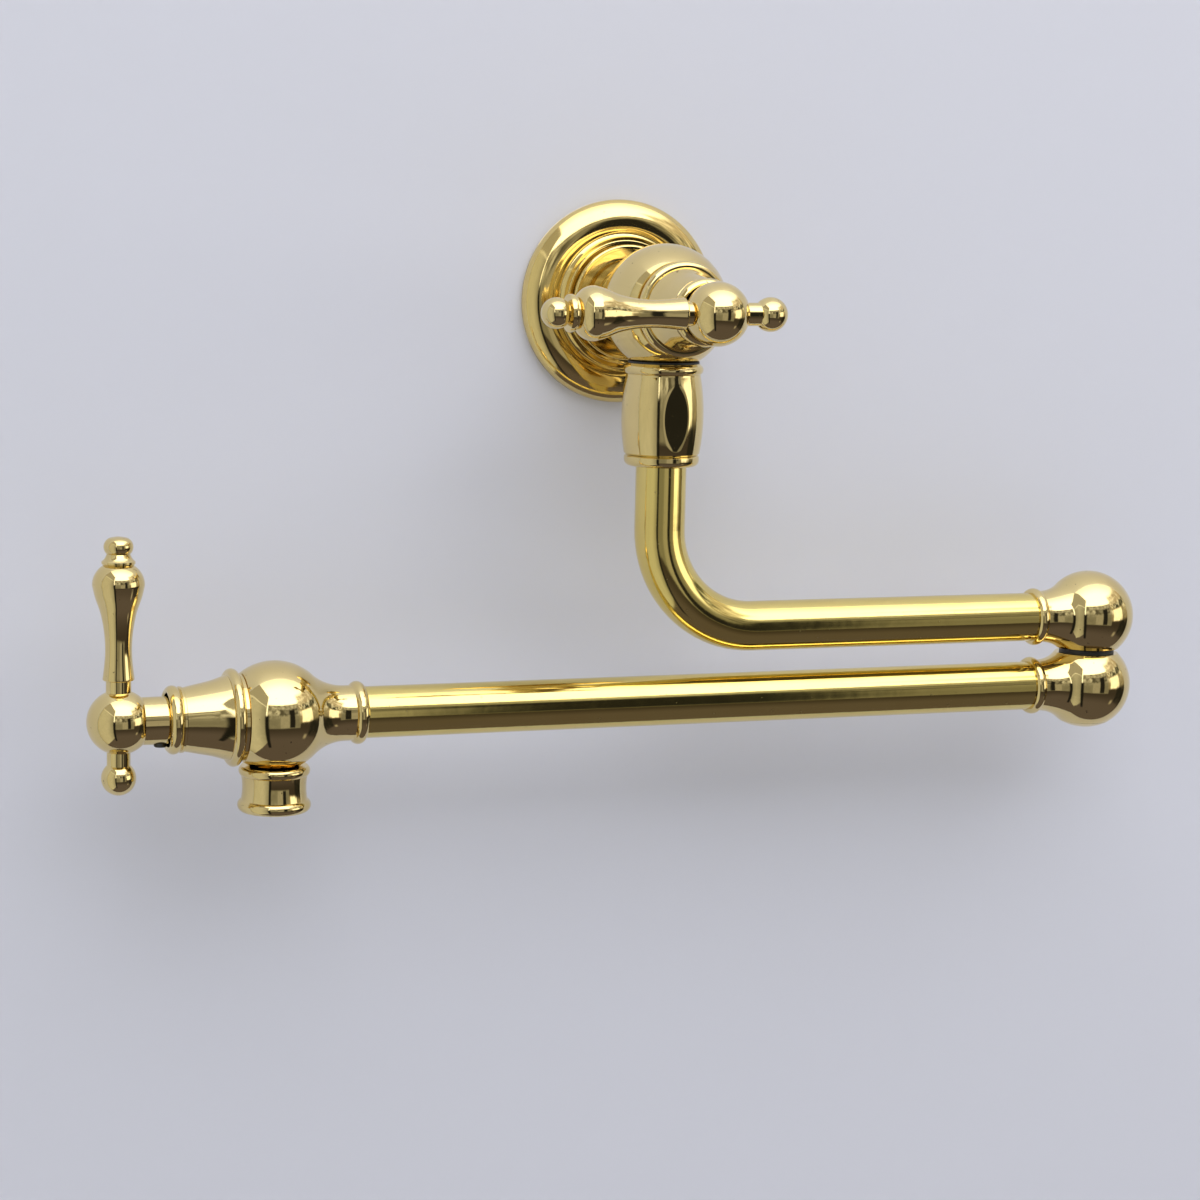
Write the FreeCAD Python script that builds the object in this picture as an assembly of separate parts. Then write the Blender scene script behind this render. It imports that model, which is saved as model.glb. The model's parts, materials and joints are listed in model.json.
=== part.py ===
import FreeCAD, Part
import math
import os
from FreeCAD import Vector

# Wall mounted pot filler, folded flat along the wall with both valves closed.
# Millimetres. The origin is the centre of the flange's back, on the wall face.
# +X runs along the wall to the elbow, +Y goes into the wall, +Z is up.
# A pair such as (5.15, 53.4) is a radius and a station along the piece's own axis.


def on_sphere(sphere, radius):
    """How far from its centre a ball has the given radius."""
    return math.sqrt(sphere ** 2 - radius ** 2)


def blend_start(ball, neck, fillet):
    """How far from a ball's centre the fillet onto its neck starts."""
    return math.sqrt((ball + fillet) ** 2 - (neck + fillet) ** 2)


# ---- overall sizes --------------------------------------------------------------------
SWIVEL_DEPTH = 52.5        # wall face to the vertical axis that the arms swing on
FIRST_ARM_DROP = 121.0     # wall valve axis down to the first arm's centreline
FIRST_ARM_REACH = 184.0    # swivel axis to elbow axis
SECOND_ARM_REACH = 331.5   # elbow axis to the centre of the outlet valve
TUBE_RADIUS = 9.525        # three quarter inch tube
TUBE_WALL = 1.2
BEND_RADIUS = 4 * TUBE_RADIUS
WALL_BALL = 23.7
OUTLET_BALL = 20.2
ELBOW_BALL = 17.8
TUBE_BORE = TUBE_RADIUS - TUBE_WALL
SPIGOT_LENGTH = 11.5       # turned ends held inside the tubes

# ---- fits and gaps --------------------------------------------------------------------
RUNNING = 0.08             # radial clearance of a turning fit
THREAD = 0.05              # radial clearance of a screwed or pressed fit
FACE = 0.05                # gap between clamped faces
FLOAT = 0.1                # end play of a turning piece
SLACK = 0.35               # gap between moving faces that never touch
EDGE = 0.5                 # broken edges of turned pieces
OVERCUT = 1.0              # how far a cut runs past the face it opens
TUBE_SPIGOT = TUBE_BORE - THREAD

# ---- wall flange and inlet; stations count out from the wall ---------------------------
FLANGE_RADIUS = 39.6
FLANGE_LIP = 3.0           # height of the flange's upright edge
FLANGE_LIP_ROUND = 0.8
FLANGE_RIM = (36.6, 6.5)
FLANGE_CREST = (32.0, 7.8)
FLANGE_DISH = ((30.2, 7.5), (28.2, 6.9), (25.8, 7.6), (23.8, 9.6))
FLANGE_NECK_RADIUS = 23.3
FLANGE_NECK = 10.4         # height of its inner edge
FLANGE_NECK_ROUND = 0.7
FLANGE_SEAT = 5.0          # length of its bore on the valve's neck
FLANGE_HUB_RADIUS = 20.5   # outside of that bore's wall, underneath
FLANGE_UNDERSIDE = (28.0, 4.9)
FLANGE_SHEET = 2.0
LOCK_RING_RADIUS = 22.4
LOCK_RING_HEIGHT = 3.3
LOCK_RING_ROUND = 0.9
LOCK_RING_STEP = 0.3       # depth of the step inside its front bead
LOCK_RING_BEAD = 1.6       # width of that bead, less its rounding
LOCK_RING_MOUTH = 17.9
NECK_RADIUS = 16.8
NECK_BACK = 1.0            # the neck stops this far short of the wall face
NECK_FILLET = 3.0
INLET_RADIUS = 10.48       # half inch pipe thread, plain here
INLET_LENGTH = 15.0        # stands out behind the wall face
INLET_SHANK_RADIUS = 10.2
INLET_SHANK = 13.0         # length held in the neck
INLET_BORE = 6.6

# ---- valve bodies ---------------------------------------------------------------------
WALL_BALL_INSIDE = WALL_BALL - 4.7
WALL_BONNET_OUT = WALL_BALL - 4.1      # ball centre to the bonnet's large bead
OUTLET_BALL_INSIDE = OUTLET_BALL - 4.2
OUTLET_BONNET_OUT = OUTLET_BALL - 4.4
SEAT_BOSS_RADIUS = 10.8
SEAT_BORE = 6.3
COLLAR_RADIUS = 13.0       # threaded collar that the bonnet screws on
COLLAR_END = 5.4           # measured from the bonnet's large bead
COLLAR_BORE = 9.9
SPIGOT_ROOT = 5.0          # the outlet spigot starts this far inside the ball's hollow

# ---- bonnet, the same on both valves; stations count from its large bead ---------------
BONNET_REAR = -3.6
BONNET_SHOULDER = 16.6
BONNET_BEAD = 17.8
BONNET_BEAD_HALF = 2.1
BONNET_ROOT = 15.5         # top of the cone beside the large bead
BONNET_CONE = ((13.85, 7.0), (12.75, 12.0), (11.45, 18.2))
BONNET_RING = 11.95        # fine ring behind the small bead
BONNET_RING_WIDTH = 0.9
BONNET_STEP = 0.3          # height of the fine steps beside that ring
BONNET_SMALL_BEAD = 12.4
BONNET_SMALL_STATION = 22.5
BONNET_SMALL_HALF = 1.9
BONNET_LIP = 10.85         # front edge of the small bead
BONNET_FRONT = 24.6
BONNET_MOUTH = 8.85
BONNET_MOUTH_ROUND = 0.8
BONNET_MOUTH_DEPTH = 12.0
BONNET_INNER = 10.45
SEAL_THICKNESS = 0.95
SEAL_RADIUS = 14.9

# ---- ceramic disc cartridge; stations count from the bonnet's large bead ---------------
CARTRIDGE_RADIUS = 9.8
CARTRIDGE_REAR = -21.0
CARTRIDGE_STEP = -10.4     # end of the disc chamber
CARTRIDGE_FLANGE = 10.3
CARTRIDGE_FLANGE_TOP = 7.4
CARTRIDGE_TOP = 12.3
CARTRIDGE_TOP_RADIUS = 8.6
DISC_CHAMBER = 8.45
FIXED_DISC_THICKNESS = 3.1
MOVING_DISC_THICKNESS = 2.45
DISC_PORT = 2.4
DISC_PORT_CIRCLE = 4.6
SIDE_PORT = 1.6
SIDE_PORTS = 6
SEAT_SEAL_HEIGHT = 0.95
SPINDLE_RADIUS = 4.98
SPINDLE_FOOT = 5.6
SPINDLE_TOP_RADIUS = 4.0
SPINDLE_RING_STATION = 2.0
RING_WIRE = 0.5            # half the thickness of the small rubber rings
FIXED_DISC_LOW = CARTRIDGE_REAR + SEAT_SEAL_HEIGHT + FACE
MOVING_DISC_LOW = FIXED_DISC_LOW + FIXED_DISC_THICKNESS + FACE
SPINDLE_LOW = MOVING_DISC_LOW + MOVING_DISC_THICKNESS + FACE
BODY_FLAT = BONNET_REAR - FACE
SEAT_END = CARTRIDGE_REAR - FACE

# ---- handles; stations count from the hub's centre --------------------------------------
HUB_RADIUS = 11.4
HUB_NECK_RADIUS = 8.4
HUB_NECK_LENGTH = 17.7     # hub centre to the end of its neck
WALL_HUB_OUT = WALL_BONNET_OUT + 32.9
OUTLET_HUB_OUT = OUTLET_BONNET_OUT + 41.0
SOCKET_RADIUS = 3.0        # threaded stubs of the lever and the counter knob
SOCKET_DEPTH = 4.2         # the stubs stop this far from the hub's centre
SPINDLE_STOP = 4.6         # the spindle stops this far short of the hub's centre
BOTTOM_GAP = 0.3           # room at the bottom of a blind hole
SET_SCREW_RADIUS = 2.25
SET_SCREW_FLATS = 2.5      # hexagon socket
SET_SCREW_SOCKET = 1.8
SET_SCREW_SUNK = 0.9
WALL_SCREW_BACK = 7.2      # hub centre back to the set screw
OUTLET_SCREW_BACK = 13.7
STUB_RADIUS = 4.2          # neck of the lever and of the counter knob, next to the hub
STUB_SEAT = STUB_RADIUS + 0.6          # flat spot on the hub around that neck
SEAT_OUT = on_sphere(HUB_RADIUS, STUB_SEAT)
KNOB_RADIUS = 6.25
KNOB_OUT = 20.3            # hub centre to the counter knob's centre
LEVER_FOOT_ROUND = 0.55
WALL_LEVER_FOOT = (5.85, 11.6)
WALL_LEVER_WAIST = (4.95, 24.0)
WALL_LEVER_BELLY = (9.75, 46.4)
WALL_LEVER_SHOULDER = (8.75, 50.6)
WALL_LEVER_NECK = (5.15, 53.4)
WALL_LEVER_RINGS = ((6.0, 6.2, 53.6, 54.4), (6.5, 6.72, 54.5, 56.5))
WALL_TIP_NECK = (3.9, 56.7)
WALL_TIP_RADIUS = 5.5
WALL_TIP_OUT = 60.7
OUTLET_LEVER_FOOT = (5.65, 14.1)
OUTLET_LEVER_WAIST = (4.75, 25.0)
OUTLET_LEVER_BELLY = (9.3, 49.2)
OUTLET_LEVER_SHOULDER = (8.4, 53.0)
OUTLET_LEVER_NECK = (5.5, 56.2)
OUTLET_LEVER_SKIRT = (5.98, 57.0)
SKIRT_WIDTH = 0.7
OUTLET_TIP_FLARE = (5.0, 58.6)
OUTLET_TIP_NECK = (4.15, 60.3)
OUTLET_TIP = (5.26, 62.9)
OUTLET_TIP_EDGE = (3.3, 66.0)
OUTLET_TIP_END = 66.5
BALUSTER_SWELL = ((0.23, 0.48), (0.44, 0.64), (0.74, 0.80))   # shares of swell and length

# ---- coupling under the wall valve; stations count down from the valve axis -------------
OUTLET_SPIGOT = TUBE_RADIUS + 1.475
OUTLET_BORE = OUTLET_SPIGOT - 4.0
COUPLING_NECK = OUTLET_SPIGOT + 2.35
COUPLING_WASHER = COUPLING_NECK - 0.45
COUPLING_BEAD = COUPLING_NECK + 1.07
COUPLING_BELLY = COUPLING_NECK + 2.15
COUPLING_FOOT = COUPLING_NECK + 0.6
COUPLING_FLAT = COUPLING_NECK + 1.2    # axis to each wrench flat
COUPLING_FLAT_EDGE = 0.6               # rounding around the wrench flats
COUPLING_WASHER_HEIGHT = 0.7
OUTLET_FLAT = on_sphere(WALL_BALL, COUPLING_WASHER)
COUPLING_TOP = OUTLET_FLAT + COUPLING_WASHER_HEIGHT + 2 * FACE
COUPLING_BEAD_END = COUPLING_TOP + 4.0
COUPLING_BELLY_STATION = COUPLING_TOP + 19.1
COUPLING_END = COUPLING_TOP + 34.05
THRUST_THICKNESS = 1.0
GLIDE_THICKNESS = 0.7
OUTLET_SPIGOT_END = COUPLING_TOP + 12.3
SLEEVE_TOP = OUTLET_SPIGOT_END - 8.0
SLEEVE_BORE = OUTLET_BORE - 2.0
SLEEVE_FLANGE_TOP = OUTLET_SPIGOT_END + FACE + THRUST_THICKNESS + FLOAT
SLEEVE_FLANGE_END = SLEEVE_FLANGE_TOP + 7.05
COUPLING_SHOULDER = SLEEVE_FLANGE_END + FLOAT + GLIDE_THICKNESS + FACE   # carries the arm
SLEEVE_RINGS = (SLEEVE_TOP + 2.0, SLEEVE_TOP + 5.2)
COLLAR_GAP = 0.25
ARM_COLLAR_RADIUS = COUPLING_FOOT + 0.1
ARM_COLLAR_LENGTH = 4.3
ARM_COLLAR_TAPER = 2.0

# ---- elbow; stations count down from the upper bulb's centre ---------------------------
ELBOW_GAP = 2.0            # between the two flats
ELBOW_FLAT = ELBOW_BALL - 5.05         # each bulb's centre to its flat
ARM_PITCH = 2 * ELBOW_FLAT + ELBOW_GAP
ELBOW_INSIDE = ELBOW_BALL - 3.2
ELBOW_NECK = TUBE_RADIUS + 0.675
ELBOW_BLEND = 16.0
ELBOW_BEAD = ELBOW_NECK + 1.1
ELBOW_BEAD_HALF = 2.0
ELBOW_NECK_LENGTH = 1.05   # between the blend and the bead
ELBOW_BEAD_OUT = (blend_start(ELBOW_BALL, ELBOW_NECK, ELBOW_BLEND) + ELBOW_NECK_LENGTH
                  + ELBOW_BEAD_HALF)
ELBOW_TUBE_FACE = ELBOW_BEAD_OUT + ELBOW_BEAD_HALF
ELBOW_FLOOR = 4.2
ELBOW_WASHER = on_sphere(ELBOW_BALL, ELBOW_FLAT) - 1.6
PIVOT_RADIUS = 7.0
PIVOT_BORE = 4.4
PIVOT_BOSS = 0.6 * ELBOW_BALL
PIVOT_BOSS_LENGTH = 0.607 * ELBOW_BALL
PIVOT_END_RADIUS = 5.5
PIVOT_RINGS = (3.0, 7.2)   # below the lower bulb's flat
PIVOT_NUT_FLATS = 15.0
PIVOT_NUT_HEIGHT = 3.6
PIVOT_WASHER_RADIUS = PIVOT_BOSS - 1.7
PIVOT_WASHER_THICKNESS = 0.8
PIVOT_LOW_FLAT = ELBOW_FLAT + ELBOW_GAP
PIVOT_STEP = PIVOT_LOW_FLAT + PIVOT_BOSS_LENGTH + FLOAT
PLUG_RADIUS = 9.9
PLUG_SIDE_GAP = 0.15
PLUG_THREAD = 9.2
PLUG_EDGE = on_sphere(ELBOW_BALL, PLUG_RADIUS)         # below the lower bulb's centre
PLUG_SEAT = PLUG_EDGE - 0.6
PLUG_TOP = PLUG_SEAT - 4.6
PLUG_DOME = ELBOW_BALL - 0.3
PLUG_KEY_FLATS = 6.0
PLUG_KEY_DEPTH = 3.0
PLUG_RING = PLUG_SEAT - 1.0
WATERWAY = TUBE_BORE - 2.0

# ---- outlet valve neck and spout; stations count from the valve's centre ---------------
OUTLET_NECK = TUBE_RADIUS + 0.625
OUTLET_BLEND = 18.5
OUTLET_BEAD = OUTLET_NECK + 1.45
OUTLET_BEAD_HALF = 2.3
OUTLET_NECK_LENGTH = 2.4
OUTLET_TUBE_FACE = (blend_start(OUTLET_BALL, OUTLET_NECK, OUTLET_BLEND)
                    + OUTLET_NECK_LENGTH + 2 * OUTLET_BEAD_HALF)
SPOUT_TOP = OUTLET_BALL - 2.1
SPOUT_BORE = 6.3
SPOUT_COLLAR = 13.0
SPOUT_COLLAR_HALF = 1.8
SPOUT_EDGE = 12.05         # both ends of the waist
SPOUT_WAIST = 11.65
SPOUT_BEAD = 13.4
SPOUT_BEAD_HALF = 2.15
SPOUT_END = SPOUT_TOP + 16.7
SPOUT_THREAD = 8.4
SPOUT_THREAD_TOP = SPOUT_TOP - 4.9
SPOUT_LIP = 0.3
AERATOR_BORE = 10.9
AERATOR_TOP = SPOUT_END - 9.8
AERATOR_RECESS = 0.7
AERATOR_SHELL = 1.2
AERATOR_RINGS = (3.2, 6.4)
AERATOR_RIB = 0.8
AERATOR_SPOKES = 6
AERATOR_WASHER_HEIGHT = 1.6
AERATOR_WASHER_BORE = SPOUT_BORE + 0.5
SCREEN_THICKNESS = 0.35
SCREEN_COUNT = 3
SCREENS_LOW = AERATOR_TOP + FACE + AERATOR_WASHER_HEIGHT
SCREENS_HIGH = SCREENS_LOW + 2 * SCREEN_COUNT * SCREEN_THICKNESS

UP = Vector(0, 0, 1)
DOWN = Vector(0, 0, -1)
OUT_OF_WALL = Vector(0, -1, 0)
LEFT = Vector(-1, 0, 0)
AXIS_START = Vector(0, 0, 0)

SWIVEL = Vector(0, -SWIVEL_DEPTH, 0)
ELBOW_TOP = SWIVEL + Vector(FIRST_ARM_REACH, 0, -FIRST_ARM_DROP)
ELBOW_LOW = ELBOW_TOP + DOWN * ARM_PITCH
OUTLET = ELBOW_LOW + LEFT * SECOND_ARM_REACH


# ---- drawing and turning --------------------------------------------------------------
def at(radius, station):
    """A point of a half outline: radius from the axis, station along it."""
    return Vector(radius, 0, station)


class Outline:
    """A half outline that is drawn point by point, then turned about its axis."""

    def __init__(self, radius, station):
        self.start = at(radius, station)
        self.end = self.start
        self.edges = []

    def line(self, radius, station):
        target = at(radius, station)
        if target.distanceToPoint(self.end) > 1e-6:
            self.edges.append(Part.LineSegment(self.end, target).toShape())
        self.end = target
        return self

    def arc(self, through, radius, station):
        target = at(radius, station)
        self.edges.append(Part.Arc(self.end, at(*through), target).toShape())
        self.end = target
        return self

    def round_to(self, radius, station):
        """A quarter round from a line along the axis to the given point's level."""
        lean = 1 - math.sqrt(0.5)
        middle = (self.end.x + lean * (radius - self.end.x),
                  station - lean * (station - self.end.z))
        return self.arc(middle, radius, station)

    def curve(self, *points):
        """A smooth curve through the given (radius, station) points."""
        spline = Part.BSplineCurve()
        spline.interpolate([self.end] + [at(*point) for point in points])
        self.edges.append(spline.toShape())
        self.end = at(*points[-1])
        return self

    def cap(self, station):
        """A shallow dome from here to the axis, tangent to the level there."""
        radius, rise = self.end.x, station - self.end.z
        sphere = (radius ** 2 + rise ** 2) / (2 * abs(rise))
        drop = sphere - math.sqrt(sphere ** 2 - (radius / 2) ** 2)
        return self.arc((radius / 2, station - math.copysign(drop, rise)), 0, station)

    def bead(self, crest, length):
        """A half round bead from here to the same radius, length further on."""
        here = self.end
        middle = (crest, here.z + length / 2)
        return self.arc(middle, here.x, here.z + length)

    def turned(self):
        self.line(self.start.x, self.start.z)
        solid = Part.Face(Part.Wire(self.edges)).revolve(AXIS_START, UP, 360)
        if solid.Volume < 0:
            solid.reverse()
        return solid


def rod(radius, low, high):
    """A plain cylinder about the local axis, between two stations."""
    return Part.makeCylinder(radius, high - low, at(0, low))


def ring(inner, outer, low, high):
    return rod(outer, low, high).cut(rod(inner, low, high))


def rubber_ring(inner, station):
    """A round rubber ring that sits in a groove of the given radius."""
    return Part.makeTorus(inner + RING_WIRE, RING_WIRE, at(0, station))


def groove(inner, outer, station):
    """The groove for a rubber ring, wider than the ring by a named gap."""
    half = RING_WIRE + THREAD
    return ring(inner - THREAD, outer + OVERCUT, station - half, station + half)


def hexagon(flats, low, high):
    corner = flats / math.sqrt(3)
    points = [Vector(corner * math.cos(math.radians(60 * i)),
                     corner * math.sin(math.radians(60 * i)), low) for i in range(7)]
    face = Part.Face(Part.makePolygon(points))
    return face.extrude(UP * (high - low))


def slab(low, size):
    """A block across the local axis from one station on, used to trim a ball flat."""
    return Part.makeBox(size, size, size, Vector(-size / 2, -size / 2, low))


def moved_by(shape, placement):
    """A copy of a shape, moved on from where it already lies."""
    moved = shape.copy()
    moved.Placement = placement.multiply(shape.Placement)
    return moved


def placed(shape, origin, out, across=UP):
    """Lays a local shape in place: its +Z goes to out and its +X to across."""
    turn = FreeCAD.Rotation(across, out.cross(across), out, "ZXY")
    return moved_by(shape, FreeCAD.Placement(origin, turn))


def sideways(shape, angle, station):
    """Points a shape's axis across the local axis, at an angle from local +X."""
    turn = FreeCAD.Rotation(UP, angle) * FreeCAD.Rotation(Vector(0, 1, 0), 90)
    return moved_by(shape, FreeCAD.Placement(at(0, station), turn))


def blend_into_ball(outline, ball, neck, fillet, side):
    """Draws a neck's concave fillet onto a ball at the origin, tangent to both."""
    start = blend_start(ball, neck, fillet)
    middle_angle = (math.atan2(neck + fillet, start) + math.pi / 2) / 2
    share = ball / (ball + fillet)
    outline.line(neck, side * start)
    outline.arc((neck + fillet - fillet * math.sin(middle_angle),
                 side * (start - fillet * math.cos(middle_angle))),
                (neck + fillet) * share, side * start * share)
    return outline


# ---- wall flange, lock ring and inlet -------------------------------------------------
def wall_flange():
    """Dished cover: upright lip, round rim, shallow valley and a raised neck."""
    foot = FLANGE_RADIUS - FLANGE_NECK_ROUND
    lip = FLANGE_RADIUS - FLANGE_LIP_ROUND
    neck = FLANGE_NECK_RADIUS - FLANGE_NECK_ROUND
    bore = NECK_RADIUS + THREAD
    seat = FLANGE_NECK - FLANGE_SEAT
    outline = Outline(foot, 0).line(FLANGE_RADIUS, FLANGE_NECK_ROUND)
    outline.line(FLANGE_RADIUS, FLANGE_LIP - FLANGE_LIP_ROUND).round_to(lip, FLANGE_LIP)
    outline.arc(FLANGE_RIM, *FLANGE_CREST).curve(*FLANGE_DISH)
    outline.arc((FLANGE_NECK_RADIUS, FLANGE_NECK - 0.2), neck, FLANGE_NECK)
    outline.line(bore, FLANGE_NECK).line(bore, seat).line(FLANGE_HUB_RADIUS, seat)
    outline.arc(FLANGE_UNDERSIDE, 35.0, FLANGE_CREST[1] - 2 * FLANGE_SHEET)
    return outline.line(foot - FLANGE_SHEET, 0).turned()


def flange_lock_ring():
    low = FLANGE_NECK + FACE
    high = low + LOCK_RING_HEIGHT
    bore = NECK_RADIUS + THREAD
    bead_edge = LOCK_RING_RADIUS - LOCK_RING_BEAD
    floor = high - LOCK_RING_STEP
    outline = Outline(bore, low).line(LOCK_RING_RADIUS - EDGE, low)
    outline.line(LOCK_RING_RADIUS, low + EDGE).line(LOCK_RING_RADIUS, high - LOCK_RING_ROUND)
    outline.round_to(LOCK_RING_RADIUS - LOCK_RING_ROUND, high)
    outline.line(bead_edge, high).line(bead_edge - LOCK_RING_STEP, floor)
    outline.line(LOCK_RING_MOUTH, floor)
    return outline.line(bore, floor - (LOCK_RING_MOUTH - bore)).turned()


def inlet_nipple():
    outline = Outline(INLET_BORE, -INLET_LENGTH).line(INLET_RADIUS, -INLET_LENGTH)
    outline.line(INLET_RADIUS, 0).line(INLET_SHANK_RADIUS, 0)
    return outline.line(INLET_SHANK_RADIUS, INLET_SHANK).line(INLET_BORE, INLET_SHANK).turned()


# ---- valve bodies, drawn about the spindle axis with the ball's centre at the origin ---
def ball_front(outline, ball, bonnet_out):
    """The front of a valve ball: sphere, flat for the bonnet and threaded collar."""
    flat = bonnet_out + BODY_FLAT
    edge = math.sqrt(ball ** 2 - flat ** 2)
    outline.arc((ball, 0), edge, flat)
    outline.line(COLLAR_RADIUS, flat).line(COLLAR_RADIUS, bonnet_out + COLLAR_END)
    return outline.line(0, bonnet_out + COLLAR_END)


def ball_cavity(inside, bonnet_out, inlet_end):
    """Water space of a valve: inlet, seat boss, hollow ball and cartridge bore."""
    hollow = Part.makeSphere(inside)
    boss = rod(SEAT_BOSS_RADIUS, -inside - OVERCUT, bonnet_out + SEAT_END)
    inlet = rod(SEAT_BORE, inlet_end, bonnet_out + SEAT_END + OVERCUT)
    cartridge_bore = rod(COLLAR_BORE, bonnet_out + SEAT_END, bonnet_out + COLLAR_END)
    return hollow.cut(boss).fuse([inlet, cartridge_bore])


def wall_valve_body():
    """Ball on a neck from the wall, cut flat below around the outlet spigot."""
    back = NECK_BACK - SWIVEL_DEPTH
    outline = Outline(0, back).line(NECK_RADIUS, back)
    blend_into_ball(outline, WALL_BALL, NECK_RADIUS, NECK_FILLET, -1)
    body = ball_front(outline, WALL_BALL, WALL_BONNET_OUT).turned()
    cavity = ball_cavity(WALL_BALL_INSIDE, WALL_BONNET_OUT, back)
    socket = rod(INLET_SHANK_RADIUS + THREAD, back, INLET_SHANK + FACE - SWIVEL_DEPTH)
    body = placed(body, SWIVEL, OUT_OF_WALL)
    root = WALL_BALL_INSIDE - SPIGOT_ROOT
    below = placed(slab(OUTLET_FLAT, 2 * WALL_BALL), SWIVEL, DOWN, LEFT)
    spigot = placed(rod(OUTLET_SPIGOT, root, OUTLET_SPIGOT_END), SWIVEL, DOWN, LEFT)
    outlet = placed(rod(OUTLET_BORE, root, OUTLET_SPIGOT_END + OVERCUT), SWIVEL, DOWN, LEFT)
    body = body.cut(below).fuse(spigot)
    return body.cut([placed(cavity, SWIVEL, OUT_OF_WALL),
                     placed(socket, SWIVEL, OUT_OF_WALL), outlet])


def outlet_valve_body():
    """Ball with a beaded neck toward the tube and a threaded seat for the spout."""
    spigot_end = -(OUTLET_TUBE_FACE + SPIGOT_LENGTH)
    outline = Outline(0, spigot_end).line(TUBE_SPIGOT, spigot_end)
    outline.line(TUBE_SPIGOT, -OUTLET_TUBE_FACE).line(OUTLET_NECK, -OUTLET_TUBE_FACE)
    outline.bead(OUTLET_BEAD, 2 * OUTLET_BEAD_HALF)
    blend_into_ball(outline, OUTLET_BALL, OUTLET_NECK, OUTLET_BLEND, -1)
    body = ball_front(outline, OUTLET_BALL, OUTLET_BONNET_OUT).turned()
    cavity = ball_cavity(OUTLET_BALL_INSIDE, OUTLET_BONNET_OUT, spigot_end)
    below = placed(slab(SPOUT_TOP - FACE, 2 * OUTLET_BALL), OUTLET, DOWN, LEFT)
    thread = placed(rod(SPOUT_THREAD + THREAD, SPOUT_THREAD_TOP - OVERCUT, SPOUT_TOP + OVERCUT),
                    OUTLET, DOWN, LEFT)
    body = placed(body, OUTLET, LEFT).cut(below)
    return body.cut([placed(cavity, OUTLET, LEFT), thread])


# ---- parts that both valves share, drawn from the bonnet's large bead -----------------
def bonnet():
    """Turned cap: large bead, long flared cone, fine ring, small bead and mouth."""
    collar_top = COLLAR_END + BOTTOM_GAP
    seal_top = BONNET_REAR + SEAL_THICKNESS + FACE
    tip_radius, tip = BONNET_CONE[-1]
    ring_low = tip + BONNET_STEP
    ring_high = ring_low + BONNET_RING_WIDTH
    mouth_floor = BONNET_FRONT - BONNET_MOUTH_DEPTH
    outline = Outline(SEAL_RADIUS + THREAD, BONNET_REAR)
    outline.line(BONNET_SHOULDER - BONNET_STEP, BONNET_REAR)
    outline.line(BONNET_SHOULDER, BONNET_REAR + BONNET_STEP)
    outline.line(BONNET_SHOULDER, -BONNET_BEAD_HALF)
    outline.arc((BONNET_BEAD, 0), BONNET_ROOT, BONNET_BEAD_HALF).curve(*BONNET_CONE)
    outline.line(BONNET_RING, ring_low).line(BONNET_RING, ring_high)
    outline.line(tip_radius, ring_high + BONNET_STEP)
    outline.line(tip_radius, BONNET_SMALL_STATION - BONNET_SMALL_HALF)
    outline.arc((BONNET_SMALL_BEAD, BONNET_SMALL_STATION), BONNET_LIP, BONNET_FRONT)
    outline.line(BONNET_MOUTH + BONNET_MOUTH_ROUND, BONNET_FRONT)
    outline.line(BONNET_MOUTH, BONNET_FRONT - BONNET_MOUTH_ROUND)
    outline.line(BONNET_MOUTH, mouth_floor).line(BONNET_INNER, mouth_floor)
    outline.line(BONNET_INNER, collar_top).line(COLLAR_RADIUS + THREAD, collar_top)
    outline.line(COLLAR_RADIUS + THREAD, seal_top)
    return outline.line(SEAL_RADIUS + THREAD, seal_top).turned()


def bonnet_seal():
    return ring(COLLAR_RADIUS + THREAD, SEAL_RADIUS, BONNET_REAR, BONNET_REAR + SEAL_THICKNESS)


def cartridge():
    flange = COLLAR_END + FACE
    bore = SPINDLE_RADIUS + RUNNING
    outline = Outline(DISC_CHAMBER, CARTRIDGE_REAR).line(CARTRIDGE_RADIUS, CARTRIDGE_REAR)
    outline.line(CARTRIDGE_RADIUS, flange).line(CARTRIDGE_FLANGE, flange)
    outline.line(CARTRIDGE_FLANGE, CARTRIDGE_FLANGE_TOP)
    outline.line(CARTRIDGE_TOP_RADIUS, CARTRIDGE_FLANGE_TOP)
    outline.line(CARTRIDGE_TOP_RADIUS, CARTRIDGE_TOP).line(bore, CARTRIDGE_TOP)
    outline.line(bore, CARTRIDGE_STEP).line(DISC_CHAMBER, CARTRIDGE_STEP)
    sleeve = outline.turned()
    middle = CARTRIDGE_STEP - SIDE_PORT - BOTTOM_GAP
    drill = rod(SIDE_PORT, DISC_CHAMBER - OVERCUT, CARTRIDGE_RADIUS + OVERCUT)
    ports = [sideways(drill, i * 360 / SIDE_PORTS, middle) for i in range(SIDE_PORTS)]
    return sleeve.cut(ports)


def disc(radius, low, thickness, port_angle):
    """A ceramic disc with two round ports, opposite each other."""
    plate = rod(radius, low, low + thickness)
    ports = []
    for turn in (0, 180):
        angle = math.radians(port_angle + turn)
        port = rod(DISC_PORT, low - OVERCUT, low + thickness + OVERCUT)
        port.translate(Vector(math.cos(angle), math.sin(angle), 0) * DISC_PORT_CIRCLE)
        ports.append(port)
    return plate.cut(ports)


def seat_seal():
    return ring(SEAT_BORE + FLOAT, DISC_CHAMBER - THREAD, CARTRIDGE_REAR,
                CARTRIDGE_REAR + SEAT_SEAL_HEIGHT)


def fixed_disc():
    return disc(DISC_CHAMBER - THREAD, FIXED_DISC_LOW, FIXED_DISC_THICKNESS, 0)


def moving_disc():
    """Closed at rest: its ports lie a quarter turn from the fixed disc's."""
    return disc(DISC_CHAMBER - RUNNING, MOVING_DISC_LOW, MOVING_DISC_THICKNESS, 90)


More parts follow.
